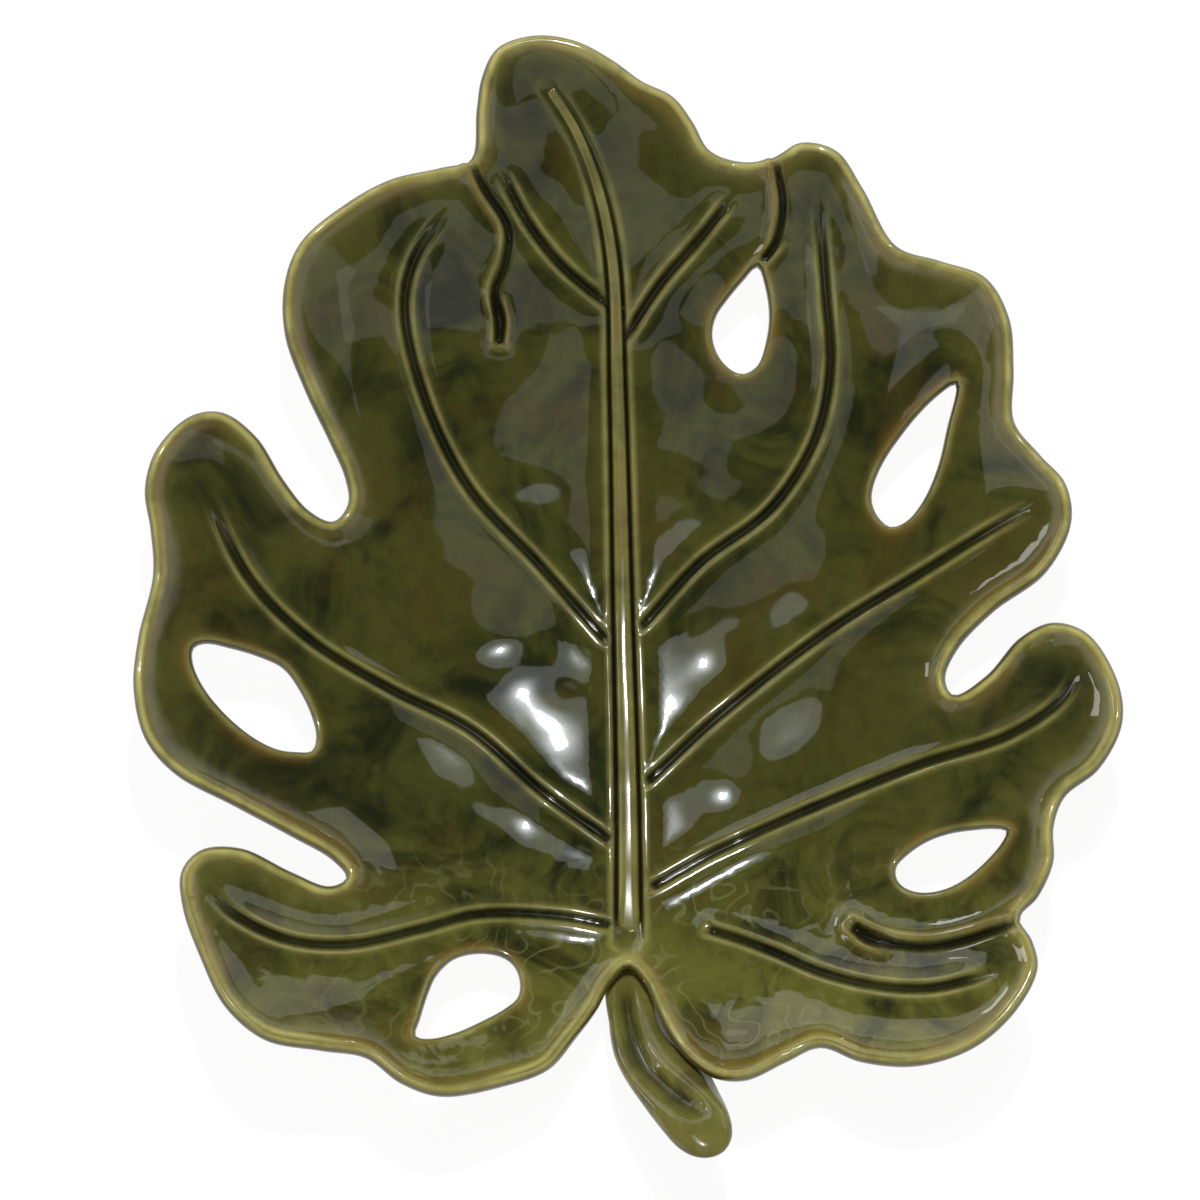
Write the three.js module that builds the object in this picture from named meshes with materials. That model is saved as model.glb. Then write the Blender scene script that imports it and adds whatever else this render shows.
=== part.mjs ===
import * as THREE from "three";

// Leaf-shaped serving bowl in glazed stoneware: a pressed blade with pierced leaf holes, a midrib strip
// laid into a channel, a channelled stalk luted under the notch and a turned foot ring.
// Millimetres, Z up, +Y toward the leaf's apex.

// Blade
const BLADE_WIDTH = 300;
const BLADE_LENGTH = 327;
const BOWL_DEPTH = 48;
const BELLY_CLEARANCE = 6.5;
const WALL = 6.5;
const RIM_ROUND = 2.6;
const HOLE_ROUND = 1.6;
const RIM_BEAD_HEIGHT = 1.4;
const RIM_BEAD_WIDTH = 2.8;
const GUTTER_DEPTH = 3.2;
const GUTTER_WIDTH = 22;
const GUTTER_START_RATIO = 0.2;
const GUTTER_FULL_RATIO = 0.9;
const PANEL_SINK = 1.8;
const PANEL_REACH = 18;
const PANEL_SETBACK = 20;

// Side veins, each a groove between two lips
const VEIN_DEPTH = 1.3;
const VEIN_GROOVE_WIDTH = 1.3;
const VEIN_LIP_HEIGHT = 1.3;
const VEIN_LIP_OFFSET = 2.5;
const VEIN_LIP_WIDTH = 2.6;
const VEIN_LIP_FOOT = 7;
const VEIN_FADE_RATIO = 0.84;

// Slits, where one lobe's edge is pressed over the next, each ending in a pocket
const SLIT_DEPTH = 2.4;
const SLIT_GROOVE_WIDTH = 1.1;
const SLIT_POCKET_WIDTH = 1.55;
const SLIT_POCKET_RATIO = 0.72;
const SLIT_POCKET_FULL_RATIO = 0.87;
const SLIT_BEAD_HEIGHT = 1.7;
const SLIT_BEAD_WIDTH = 2;
const SLIT_WRAP_RATIO = 0.8;

// Midrib strip and its channel
const MIDRIB_ROOT_WIDTH = 7.2;
const MIDRIB_TIP_WIDTH = 1.8;
const MIDRIB_CROWN = 1.9;
const MIDRIB_DIP = 0.45;
const MIDRIB_TIP_RATIO = 0.5;
const MIDRIB_SHOULDER_RATIO = 0.7;
const MIDRIB_SHOULDER_SPREAD_RATIO = 0.92;
const MIDRIB_CROWN_SPREAD_RATIO = 0.62;
const CHANNEL_DEPTH = 1.4;
const CHANNEL_SIDE_PLAY = 0.6;
const CHANNEL_SLOPE = 2;
const CHANNEL_END_PLAY = 1;
const CHANNEL_FADE_RATIO = 0.75;
const CHANNEL_TIP_RATIO = 0.2;

// Stalk
const STALK_WIDTH = 19.5;
const STALK_TONGUE = 5.6;
const STALK_RISE = 4.3;
const STALK_RIDGE = 1.6;
const STALK_TROUGH_DEPTH = 4;
const STALK_SIDE_PLAY = 0.8;
const STALK_TUCK = 3.6;
const STALK_SHELF_DROP = 0.6;
const STALK_FLANK_RATIO = 0.4;
const STALK_SHOULDER_RATIO = 0.85;
const STALK_SLOPE_RATIO = 0.6;

// Foot ring
const FOOT_DIAMETER = 100;
const FOOT_WALL = 8;
const FOOT_FLARE = 2.4;
const FOOT_CHAMFER = 0.8;

// Clearance left at every luted seat
const SEAT_GAP = 0.3;

// Facet sizes
const EDGE_STEP = 5.5;
const HOLE_STEP = 4;
const VEIN_STEP = 6;
const FILL_STEP = 10.5;
const CROWD_RATIO = 0.7;
const FEWEST_STEPS = 8;
const ARC_DIVISIONS = 16;
const RIM_ANGLES = [45, 0, -45];
const FOOT_SECTORS = 72;
const SETTLE_NUDGE = 0.01;
const FRAME_RATIO = 20;

// Outline of the blade, clockwise from the notch left of the apex lobe: percent of width across, percent of
// length along, both from the middle of the blade
const APEX_LOBE = [
  [-16.2, 39], [-15.6, 43.2], [-15, 46.2], [-13.4, 48.8], [-9.6, 50], [-5.3, 49.5], [-1.4, 47.7],
  [1.5, 45.9], [4.8, 44.5], [6.9, 42.3], [8.6, 40], [12.4, 38.9], [15.4, 39.2],
];
const UPPER_RIGHT_LOBE = [
  [18.1, 40.3], [21.8, 39.4], [24.5, 36], [28, 30.6], [32.5, 28.8], [37, 26.9], [39.4, 23], [39.9, 18.2],
  [40, 13.7],
];
const RIGHT_LOBE = [
  [42.6, 10.4], [45.1, 7.5], [45.6, 3.7], [43, -0.8], [38, -3.9], [34.4, -7.2], [33.1, -10], [33.9, -11.6],
];
const LOWER_RIGHT_LOBE = [
  [37.1, -10], [40.4, -6.7], [43.6, -5.5], [47, -6.8], [49.8, -11.7], [50, -15.8], [47.6, -19.9],
  [44.3, -22.3], [43.1, -25.1], [42.9, -28.5], [41.3, -31.7], [39.5, -33.6],
];
const RIGHT_BASE_LOBE = [
  [40.6, -35.8], [41, -38.4], [38.7, -42.3], [34.4, -45.7], [28.7, -47.3], [23.3, -46.8], [19.4, -45.4],
  [16, -46.7], [11.9, -48.4], [8.9, -48.1],
];
const STALK_NOTCH = [[6.2, -45.8], [3.9, -42.9], [2.2, -39.8], [0.2, -37.4], [-1.7, -39.6], [-3.1, -41.7]];
const LEFT_BASE_LOBE = [
  [-5.2, -44.3], [-7.9, -47.3], [-12.2, -48.9], [-18.7, -50], [-22.7, -48.8], [-26.2, -46.5], [-30.6, -45.9],
  [-36.1, -45], [-40.1, -42], [-42.7, -37.5], [-44.7, -32.6], [-44.9, -29.3], [-43, -27.2], [-39.1, -26.9],
  [-34.2, -28.9], [-30.4, -30.1], [-28.8, -29.2], [-30.3, -27.5], [-34.3, -25.5],
];
const LEFT_LOBE = [
  [-40, -22.9], [-45.7, -20.3], [-48.7, -17.2], [-50, -12.5], [-49.7, -7.7], [-48.4, -1.5], [-48.7, 2.7],
  [-49.3, 6.5], [-48.2, 10.3], [-44.8, 13.7], [-41.6, 14.3], [-38.3, 12.4], [-35.6, 8.7], [-33.1, 6.1],
  [-30.7, 5.3], [-29.2, 7.1], [-29.5, 9.5],
];
const UPPER_LEFT_LOBE = [
  [-31, 12.6], [-33.4, 17], [-35.4, 21.9], [-35.4, 26.5], [-33.7, 30.4], [-29.1, 34.2], [-24.5, 36.7],
  [-19.3, 38.1],
];
const OUTLINE = [
  ...APEX_LOBE, ...UPPER_RIGHT_LOBE, ...RIGHT_LOBE, ...LOWER_RIGHT_LOBE, ...RIGHT_BASE_LOBE,
  ...STALK_NOTCH, ...LEFT_BASE_LOBE, ...LEFT_LOBE, ...UPPER_LEFT_LOBE,
];

// Pierced holes, each from its sharp end
const HOLES = [
  [
    [13.7, 29.7], [12.3, 28.6], [10.6, 26.9], [9.5, 25.5], [9.1, 23.8], [9.7, 22], [11.1, 20.6], [12.4, 20.2],
    [13.8, 20.9], [14.6, 22.7], [15, 25.2], [14.6, 27.8],
  ],
  [
    [34.1, 17.6], [32.4, 16.8], [30.4, 15.2], [28.7, 13.4], [27.2, 11.5], [26.1, 9.4], [25.8, 7.7],
    [26.4, 6.2], [27.7, 5.1], [29.3, 5.5], [31, 7.3], [32.4, 10.2], [33.3, 13.7],
  ],
  [
    [-44.3, -8.1], [-43.2, -7.5], [-40.7, -7.7], [-38.1, -8.2], [-35.7, -9.1], [-34, -11.1], [-32.7, -13.6],
    [-32.2, -15.6], [-32.6, -17], [-34, -17.2], [-35.9, -17.1], [-38.2, -16.2], [-41, -14.2], [-43.2, -11.8],
    [-44.3, -9.6],
  ],
  [
    [-21.3, -44.3], [-20.9, -42.6], [-20.2, -40.2], [-19.4, -38.4], [-17.7, -36.8], [-15.3, -36.2],
    [-12.9, -36.5], [-11.6, -37.4], [-11, -38.9], [-11.2, -40.4], [-12.5, -41.5], [-14.9, -42.8],
    [-17.4, -43.9], [-19.8, -44.5],
  ],
  [
    [38.5, -25.2], [37.4, -24.9], [35.4, -24.9], [33.1, -25.1], [31, -25.7], [29.2, -26.7], [27.7, -28.1],
    [27.7, -29.3], [28.5, -30.2], [30.1, -30.7], [32.2, -30.5], [34.3, -29.6], [36.4, -28], [38, -26.3],
  ],
];

// Midrib from its square lower end to the apex, and side veins from the midrib outward
const MIDRIB = [
  [0.2, -34.6], [0.1, -21.1], [-0.4, -1.7], [-0.9, 17.8], [-1.5, 30.5], [-3, 36.5], [-5.4, 41.5], [-8.1, 45],
];
const VEINS = [
  [[-2.4, 26.8], [-7, 30], [-10.6, 33.9], [-13.2, 38.1]],
  [[1, 24.8], [3.6, 28.3], [7.7, 32.3], [11.3, 36]],
  [[-2.4, -5.3], [-9.1, 1.7], [-16.5, 9], [-21.2, 17.4], [-23.2, 25.4], [-22.1, 29.9], [-18.2, 34.8]],
  [[1.8, -4], [7.8, 2], [15.2, 7.1], [19.9, 13.7], [21.4, 20.2], [20.8, 27.4], [19.9, 36]],
  [[-2, -24.9], [-9, -20.2], [-16.3, -14.4], [-24.7, -10.6], [-33, -6.2], [-39, -0.9], [-43.4, 7]],
  [[2.4, -19.2], [9.8, -12.9], [21.4, -4.7], [30.7, 0.3], [38.7, 4.3], [43, 6.1]],
  [
    [-2, -33.3], [-6.9, -32.5], [-15.1, -32.4], [-21.2, -34], [-28.2, -35.7], [-34.1, -35.5], [-39.5, -33.3],
    [-43, -30.2],
  ],
  [[2.9, -29.5], [9.7, -26], [20.1, -21.8], [30.4, -18.2], [39.3, -15.9], [44.2, -13], [46.2, -9.8]],
  [
    [8.7, -33.9], [12.1, -35], [15.7, -36.4], [19.3, -38], [24.6, -39.5], [29.9, -40], [33.4, -39.5],
    [37.6, -38.4],
  ],
];

// Slits from their mouth on the rim inward, the pressed-over edge on the right of travel, and how far each
// swells beyond the plain bead
const SLITS = [
  [[-16.3, 38.7], [-14.8, 36.3], [-12.4, 33], [-12.7, 29.9], [-13.8, 27.4], [-13.3, 24.9], [-13.4, 23.1]],
  [[15.4, 38.9], [16.3, 34.9], [15.6, 31.6], [14.2, 30]],
  [[39, -34.2], [36.4, -34.9], [33.6, -35.6], [30.1, -36], [26.6, -35.5], [24.4, -34.7], [23.3, -33.9]],
];
const SLIT_SWELLS = [0.9, 0.8, 1.5];

// Centre line of the stalk from its tongue under the blade to its rounded end
const STALK = [
  [0.1, -33.5], [0.1, -37.9], [0.5, -41.7], [1.6, -45.5], [4.9, -49.8], [7.5, -52.8], [9.6, -54.9],
];

// Sections of the stalk: share along it, then shares of full width, rise, trough, tongue and tuck
const STALK_STATIONS = [
  { along: 0, width: 0.54, rise: 0, trough: 0, tongue: 0.35, tuck: 0 },
  { along: 0.1, width: 0.68, rise: 0, trough: 0.1, tongue: 0.6, tuck: 0 },
  { along: 0.2, width: 0.77, rise: 0, trough: 0.2, tongue: 0.85, tuck: 0 },
  { along: 0.28, width: 0.77, rise: 0, trough: 0.35, tongue: 1, tuck: 0.1 },
  { along: 0.36, width: 0.77, rise: 0, trough: 0.5, tongue: 1, tuck: 0.4 },
  { along: 0.48, width: 0.88, rise: 0.3, trough: 0.9, tongue: 1, tuck: 1 },
  { along: 0.6, width: 0.95, rise: 0.7, trough: 1, tongue: 1, tuck: 1 },
  { along: 0.72, width: 1, rise: 0.95, trough: 1, tongue: 1, tuck: 1 },
  { along: 0.8, width: 1, rise: 1, trough: 0.8, tongue: 1, tuck: 0.6 },
  { along: 0.86, width: 0.98, rise: 1, trough: 0.25, tongue: 1, tuck: 0.2 },
  { along: 0.92, width: 0.9, rise: 0.95, trough: 0, tongue: 1, tuck: 0 },
  { along: 0.97, width: 0.72, rise: 0.75, trough: 0, tongue: 0.9, tuck: 0 },
  { along: 1, width: 0.4, rise: 0.4, trough: 0, tongue: 0.6, tuck: 0 },
];

// Profile of the stalk round from its underside: share of half width, share of the tuck, level
const STALK_PROFILE = [
  [-0.6, 1, "bottom"], [0.6, 0, "bottom"], [0.94, 0, "waist"], [1, 0, "flank"],
  [0.86, 0, "ridgeFlank"], [0.5, 0, "ridge"], [0.12, 0, "ridgeSlope"], [-0.18, 0, "trough"],
  [-0.42, 0, "bank"], [-0.65, 0, "top"], [-0.86, 0, "shoulder"],
  [-1, 0, "flank"], [-1, 1, "shelf"], [-0.94, 1, "waist"],
];

// Bowl form: a flattened cosine dish about a centre a little below the middle of the blade
const DISH_CENTRE_RATIO = -0.064;
const DISH_REACH_RATIO = 0.508;
const DISH_FLATNESS_RATIO = 1.8;
const DISH_CURL_ANGLE = 0.8 * Math.PI;
const dishCentreY = BLADE_LENGTH * DISH_CENTRE_RATIO;

const { smoothstep, lerp } = THREE.MathUtils;
const bump = (offset, width) => Math.exp(-((offset / width) ** 2));

function curveThrough(knots, closed) {
  const points = knots.map(([across, along]) => {
    return new THREE.Vector3((across / 100) * BLADE_WIDTH, (along / 100) * BLADE_LENGTH, 0);
  });
  const curve = new THREE.CatmullRomCurve3(points, closed, "centripetal");
  curve.arcLengthDivisions = knots.length * ARC_DIVISIONS;
  return curve;
}

function spacedPoints(curve, step) {
  const count = Math.max(FEWEST_STEPS, Math.round(curve.getLength() / step));
  const points = curve.getSpacedPoints(count);
  return curve.closed ? points.slice(0, -1) : points;
}

// Distance from a place to a run of points, how far along it that is, and which side (1 is right of travel)
function nearest(points, closed, x, y) {
  const spans = closed ? points.length : points.length - 1;
  const best = { distance: Infinity, along: 0, side: 1 };
  for (let i = 0; i < spans; i += 1) {
    const start = points[i];
    const end = points[(i + 1) % points.length];
    const runX = end.x - start.x;
    const runY = end.y - start.y;
    const share = ((x - start.x) * runX + (y - start.y) * runY) / (runX * runX + runY * runY);
    const t = Math.min(1, Math.max(0, share));
    const offX = x - start.x - runX * t;
    const offY = y - start.y - runY * t;
    const distance = Math.hypot(offX, offY);
    if (distance < best.distance) {
      best.distance = distance;
      best.along = (i + t) / spans;
      best.side = runY * offX - runX * offY >= 0 ? 1 : -1;
    }
  }
  return best;
}

const edgeCurves = [OUTLINE, ...HOLES].map((knots) => curveThrough(knots, true));
const edgeLines = edgeCurves.map((curve, i) => spacedPoints(curve, i === 0 ? EDGE_STEP : HOLE_STEP));
const edgeRounds = edgeCurves.map((curve, i) => (i === 0 ? RIM_ROUND : HOLE_ROUND));
const veinCurves = VEINS.map((knots) => curveThrough(knots, false));
const veinLines = veinCurves.map((curve) => spacedPoints(curve, VEIN_STEP / 2));
const slitCurves = SLITS.map((knots) => curveThrough(knots, false));
const slitLines = slitCurves.map((curve) => spacedPoints(curve, VEIN_STEP / 2));
const midribCurve = curveThrough(MIDRIB, false);
const midribLine = spacedPoints(midribCurve, VEIN_STEP / 2);

const midribHalfWidth = (along) => lerp(MIDRIB_ROOT_WIDTH, MIDRIB_TIP_WIDTH, along) / 2;
const channelFade = (along) => lerp(1, CHANNEL_TIP_RATIO, smoothstep(along, CHANNEL_FADE_RATIO, 1));
const channelDepth = (along) => CHANNEL_DEPTH * channelFade(along);
const rimDistance = (x, y) => nearest(edgeLines[0], true, x, y).distance;
const edgeDistance = (x, y) => Math.min(...edgeLines.map((line) => nearest(line, true, x, y).distance));

function dishHeight(x, y) {
  const shareX = x / (BLADE_WIDTH * DISH_REACH_RATIO);
  const shareY = (y - dishCentreY) / (BLADE_LENGTH * DISH_REACH_RATIO);
  const reach = Math.hypot(shareX, shareY) ** DISH_FLATNESS_RATIO;
  const rise = (1 - Math.cos(DISH_CURL_ANGLE * reach)) / (1 - Math.cos(DISH_CURL_ANGLE));
  return BELLY_CLEARANCE + WALL + BOWL_DEPTH * rise;
}

// Plain hull: the dish with every lobe guttered along its vein
function hullHeight(x, y) {
  const gutters = veinLines.map((line) => {
    const { distance, along } = nearest(line, false, x, y);
    return smoothstep(along, GUTTER_START_RATIO, GUTTER_FULL_RATIO) * bump(distance, GUTTER_WIDTH);
  });
  return dishHeight(x, y) - GUTTER_DEPTH * Math.max(...gutters);
}

const undersideHeight = (x, y) => hullHeight(x, y) - WALL;

// Upper face of the hull with every panel between veins sunk a little
function sheetHeight(x, y) {
  const setback = smoothstep(edgeDistance(x, y), 0, PANEL_SETBACK);
  const panel = [midribLine, ...veinLines].reduce((share, line) => {
    return share * (1 - bump(nearest(line, false, x, y).distance, PANEL_REACH));
  }, setback);
  return hullHeight(x, y) - PANEL_SINK * panel;
}

// Bead, groove and pocket of the slits
function slitRelief(x, y) {
  return slitLines.reduce((relief, line, i) => {
    const { distance, along, side } = nearest(line, false, x, y);
    const pocket = smoothstep(along, SLIT_POCKET_RATIO, SLIT_POCKET_FULL_RATIO);
    const cutWidth = lerp(SLIT_GROOVE_WIDTH, SLIT_POCKET_WIDTH * SLIT_SWELLS[i], pocket);
    const beadWidth = SLIT_BEAD_WIDTH * SLIT_SWELLS[i];
    const over = side > 0 ? 1 : SLIT_WRAP_RATIO * pocket;
    const bead = SLIT_BEAD_HEIGHT * SLIT_SWELLS[i] * over * bump(distance - cutWidth - beadWidth, beadWidth);
    return relief + bead - SLIT_DEPTH * bump(distance, cutWidth);
  }, 0);
}

// Upper face with its veins, slits, midrib channel and rim bead
function faceHeight(x, y) {
  let lip = 0;
  let groove = 0;
  veinLines.forEach((line) => {
    const { distance, along } = nearest(line, false, x, y);
    const fade = 1 - smoothstep(along, VEIN_FADE_RATIO, 1);
    lip = Math.max(lip, fade * bump(distance - VEIN_LIP_OFFSET, VEIN_LIP_WIDTH));
    groove = Math.max(groove, fade * bump(distance, VEIN_GROOVE_WIDTH));
  });
  const spine = nearest(midribLine, false, x, y);
  const floorEdge = midribHalfWidth(spine.along) + CHANNEL_SIDE_PLAY;
  const channel = 1 - smoothstep(spine.distance, floorEdge, floorEdge + CHANNEL_SLOPE);
  lip = Math.max(lip, bump(spine.distance - floorEdge - CHANNEL_SLOPE, VEIN_LIP_WIDTH));
  const bead = RIM_BEAD_HEIGHT * bump(rimDistance(x, y) - RIM_ROUND, RIM_BEAD_WIDTH);
  const raised = Math.max(VEIN_LIP_HEIGHT * lip, bead) * (1 - groove);
  const veined = (raised - VEIN_DEPTH * groove) * (1 - channel);
  return sheetHeight(x, y) + veined - channelDepth(spine.along) * channel + slitRelief(x, y);
}

// Plan points moved a hair each, so that no three lie on one line and no four on one circle
function settle(points) {
  return points.map((point, i) => {
    return { x: point.x + SETTLE_NUDGE * Math.sin(i * i), y: point.y + SETTLE_NUDGE * Math.cos(i * i) };
  });
}

// Triangles over settled plan points by adding one point at a time and refilling the hole it opens
function delaunay(settled) {
  const far = FRAME_RATIO * (BLADE_WIDTH + BLADE_LENGTH);
  const count = settled.length;
  const all = [...settled, { x: -far, y: -far }, { x: far, y: -far }, { x: 0, y: far }];
  const circled = (a, b, c) => {
    const [p, q, r] = [all[a], all[b], all[c]];
    const twist = 2 * (p.x * (q.y - r.y) + q.x * (r.y - p.y) + r.x * (p.y - q.y));
    const [pp, qq, rr] = [p, q, r].map((v) => v.x * v.x + v.y * v.y);
    const x = (pp * (q.y - r.y) + qq * (r.y - p.y) + rr * (p.y - q.y)) / twist;
    const y = (pp * (r.x - q.x) + qq * (p.x - r.x) + rr * (q.x - p.x)) / twist;
    return { a, b, c, x, y, reach: (p.x - x) ** 2 + (p.y - y) ** 2 };
  };
  let triangles = [circled(count, count + 1, count + 2)];
  settled.forEach((point, i) => {
    const kept = [];
    const rims = new Map();
    triangles.forEach((triangle) => {
      if ((point.x - triangle.x) ** 2 + (point.y - triangle.y) ** 2 >= triangle.reach) {
        kept.push(triangle);
        return;
      }
      [[triangle.a, triangle.b], [triangle.b, triangle.c], [triangle.c, triangle.a]].forEach(([from, to]) => {
        if (!rims.delete(`${to} ${from}`)) {
          rims.set(`${from} ${to}`, [from, to]);
        }
      });
    });
    triangles = kept;
    rims.forEach(([from, to]) => triangles.push(circled(from, to, i)));
  });
  return triangles.filter(({ a, b, c }) => Math.max(a, b, c) < count).map(({ a, b, c }) => [a, b, c]);
}

function isInside(loop, x, y) {
  let inside = false;
  loop.forEach((end, i) => {
    const start = loop[(i + loop.length - 1) % loop.length];
    if (start.y > y !== end.y > y && x < start.x + ((end.x - start.x) * (y - start.y)) / (end.y - start.y)) {
      inside = !inside;
    }
  });
  return inside;
}

// Plan directions pointing into the clay at each point of an edge
function inwardNormals(line, isHole) {
  const turning = THREE.ShapeUtils.isClockWise(line) === isHole ? 1 : -1;
  return line.map((point, i) => {
    const before = line[(i + line.length - 1) % line.length];
    const after = line[(i + 1) % line.length];
    return new THREE.Vector3(before.y - after.y, after.x - before.x, 0).normalize().multiplyScalar(turning);
  });
}

function solid(name, vertices, triangles, material) {
  const geometry = new THREE.BufferGeometry();
  geometry.setAttribute("position", new THREE.Float32BufferAttribute(vertices.flat(), 3));
  geometry.setIndex(triangles.flat());
  geometry.computeVertexNormals();
  const mesh = new THREE.Mesh(geometry, material);
  mesh.name = name;
  return mesh;
}

// Rows of points following a curve at set offsets to both sides
function rowsAlong(curve, step, offsetsAt) {
  const count = Math.max(FEWEST_STEPS, Math.round(curve.getLength() / step));
  const rows = [];
  for (let i = 0; i <= count; i += 1) {
    const along = i / count;
    const point = curve.getPointAt(along);
    const run = curve.getTangentAt(along);
    offsetsAt(along).forEach((offset) => {
      rows.push({ x: point.x + run.y * offset, y: point.y - run.x * offset });
    });
  }
  return rows;
}

// Plan points inside the rim: feature rows first, then an even fill, none crowding another or the rim
function facePoints(loops, rows) {
  const taken = loops.flat();
  const boundaryCount = taken.length;
  const rimSpacing = EDGE_STEP * CROWD_RATIO;
  const tryPoint = (point, spacing) => {
    const inside = loops.every((loop, i) => isInside(loop, point.x, point.y) === (i === 0));
    const clear = loops.every((loop) => nearest(loop, true, point.x, point.y).distance > rimSpacing);
    const crowded = taken.some((other, i) => {
      return i >= boundaryCount && Math.hypot(other.x - point.x, other.y - point.y) < spacing;
    });
    if (inside && clear && !crowded) {
      taken.push(point);
    }
  };
  rows.forEach(({ points, spacing }) => points.forEach((point) => tryPoint(point, spacing)));
  const rowHeight = (FILL_STEP * Math.sqrt(3)) / 2;
  const rowCount = Math.ceil(BLADE_LENGTH / rowHeight / 2);
  const columnCount = Math.ceil(BLADE_WIDTH / FILL_STEP / 2);
  for (let row = -rowCount; row <= rowCount; row += 1) {
    for (let column = -columnCount; column <= columnCount; column += 1) {
      tryPoint({ x: (column + (row & 1) / 2) * FILL_STEP, y: row * rowHeight }, FILL_STEP * CROWD_RATIO);
    }
  }
  return taken;
}

function leafBlade(material) {
  const vertices = [];
  const triangles = [];
  const normals = edgeLines.map((line, i) => inwardNormals(line, i > 0));
  const innerLoops = edgeLines.map((line, k) => {
    return line.map((point, i) => point.clone().addScaledVector(normals[k][i], edgeRounds[k]));
  });
  const spineRows = rowsAlong(midribCurve, VEIN_STEP, (along) => {
    const floorEdge = midribHalfWidth(along) + CHANNEL_SIDE_PLAY;
    const lipEdge = floorEdge + CHANNEL_SLOPE;
    return [0, floorEdge, -floorEdge, lipEdge, -lipEdge, lipEdge * 2, -lipEdge * 2];
  });
  const slitRows = slitCurves.flatMap((curve, i) => {
    const beadEdge = SLIT_POCKET_WIDTH + SLIT_BEAD_WIDTH * SLIT_SWELLS[i];
    return rowsAlong(curve, VEIN_STEP, () => [0, beadEdge, -beadEdge, beadEdge * 2]);
  });
  const veinOffsets = [0, VEIN_LIP_OFFSET, -VEIN_LIP_OFFSET, VEIN_LIP_FOOT, -VEIN_LIP_FOOT];
  const veinRows = veinCurves.flatMap((curve) => rowsAlong(curve, VEIN_STEP, () => veinOffsets));
  const clearRows = veinRows.filter(({ x, y }) => {
    const { distance, along } = nearest(midribLine, false, x, y);
    return distance > midribHalfWidth(along) + CHANNEL_SIDE_PLAY + CHANNEL_SLOPE + VEIN_LIP_OFFSET;
  });
  const rows = [
    { points: spineRows, spacing: MIDRIB_TIP_WIDTH * CROWD_RATIO },
    { points: slitRows, spacing: SLIT_BEAD_WIDTH },
    { points: clearRows, spacing: VEIN_LIP_OFFSET * CROWD_RATIO },
  ];

  // Upper and lower sheets share the boundary points, so the rim can join them
  const addSheet = (points, heightAt, upward) => {
    const first = vertices.length;
    points.forEach(({ x, y }) => vertices.push([x, y, heightAt(x, y)]));
    const settled = settle(points);
    let loopEnd = 0;
    const settledLoops = innerLoops.map((loop) => {
      loopEnd += loop.length;
      return settled.slice(loopEnd - loop.length, loopEnd);
    });
    delaunay(settled).forEach(([a, b, c]) => {
      const x = (settled[a].x + settled[b].x + settled[c].x) / 3;
      const y = (settled[a].y + settled[b].y + settled[c].y) / 3;
      if (settledLoops.every((loop, i) => isInside(loop, x, y) === (i === 0))) {
        triangles.push(upward ? [first + a, first + b, first + c] : [first + a, first + c, first + b]);
      }
    });
    return first;
  };
  const topFirst = addSheet(facePoints(innerLoops, rows), faceHeight, true);
  const bottomFirst = addSheet(facePoints(innerLoops, []), undersideHeight, false);

  // Half-round rim from the upper sheet over the edge to the lower sheet
  let loopStart = 0;
  edgeLines.forEach((line, k) => {
    const ring = line.map((point, i) => {
      const top = vertices[topFirst + loopStart + i];
      const bottom = vertices[bottomFirst + loopStart + i];
      const middle = (top[2] + bottom[2]) / 2;
      const half = (top[2] - bottom[2]) / 2;
      const onRound = RIM_ANGLES.map((degrees) => {
        const angle = THREE.MathUtils.degToRad(degrees);
        const place = point.clone().addScaledVector(normals[k][i], edgeRounds[k] * (1 - Math.cos(angle)));
        vertices.push([place.x, place.y, middle + half * Math.sin(angle)]);
        return vertices.length - 1;
      });
      return [topFirst + loopStart + i, ...onRound, bottomFirst + loopStart + i];
    });
    const outward = THREE.ShapeUtils.isClockWise(line) === (k === 0);
    ring.forEach((section, i) => {
      const next = ring[(i + 1) % ring.length];
      for (let j = 0; j + 1 < section.length; j += 1) {
        const quad = [section[j], section[j + 1], next[j + 1], next[j]];
        const [a, b, c, d] = outward ? quad.reverse() : quad;
        triangles.push([a, b, c], [a, c, d]);
      }
    });
    loopStart += line.length;
  });
  return solid("leaf_blade", vertices, triangles, material);
}

// Body through a run of equal sections, either capped at both ends or joined into a ring
function loft(name, sections, isRing, material) {
  const size = sections[0].length;
  const vertices = sections.flat();
  const triangles = [];
  const spans = isRing ? sections.length : sections.length - 1;
  for (let i = 0; i < spans; i += 1) {
    const near = i * size;
    const far = ((i + 1) % sections.length) * size;
    for (let j = 0; j < size; j += 1) {
      const k = (j + 1) % size;
      triangles.push([near + j, far + k, near + k], [near + j, far + j, far + k]);
    }
  }
  if (!isRing) {
    const last = (sections.length - 1) * size;
    const flat = sections.map((section) => {
      const [start] = section;
      return section.map(([x, y, z]) => {
        return new THREE.Vector2(Math.hypot(x - start[0], y - start[1]), z);
      });
    });
    const startCap = THREE.ShapeUtils.triangulateShape(flat[0], []);
    const endCap = THREE.ShapeUtils.triangulateShape(flat.at(-1), []);
    startCap.forEach(([a, b, c]) => triangles.push([a, b, c]));
    endCap.forEach(([a, b, c]) => triangles.push([last + a, last + c, last + b]));
  }
  return solid(name, vertices, triangles, material);
}

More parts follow.
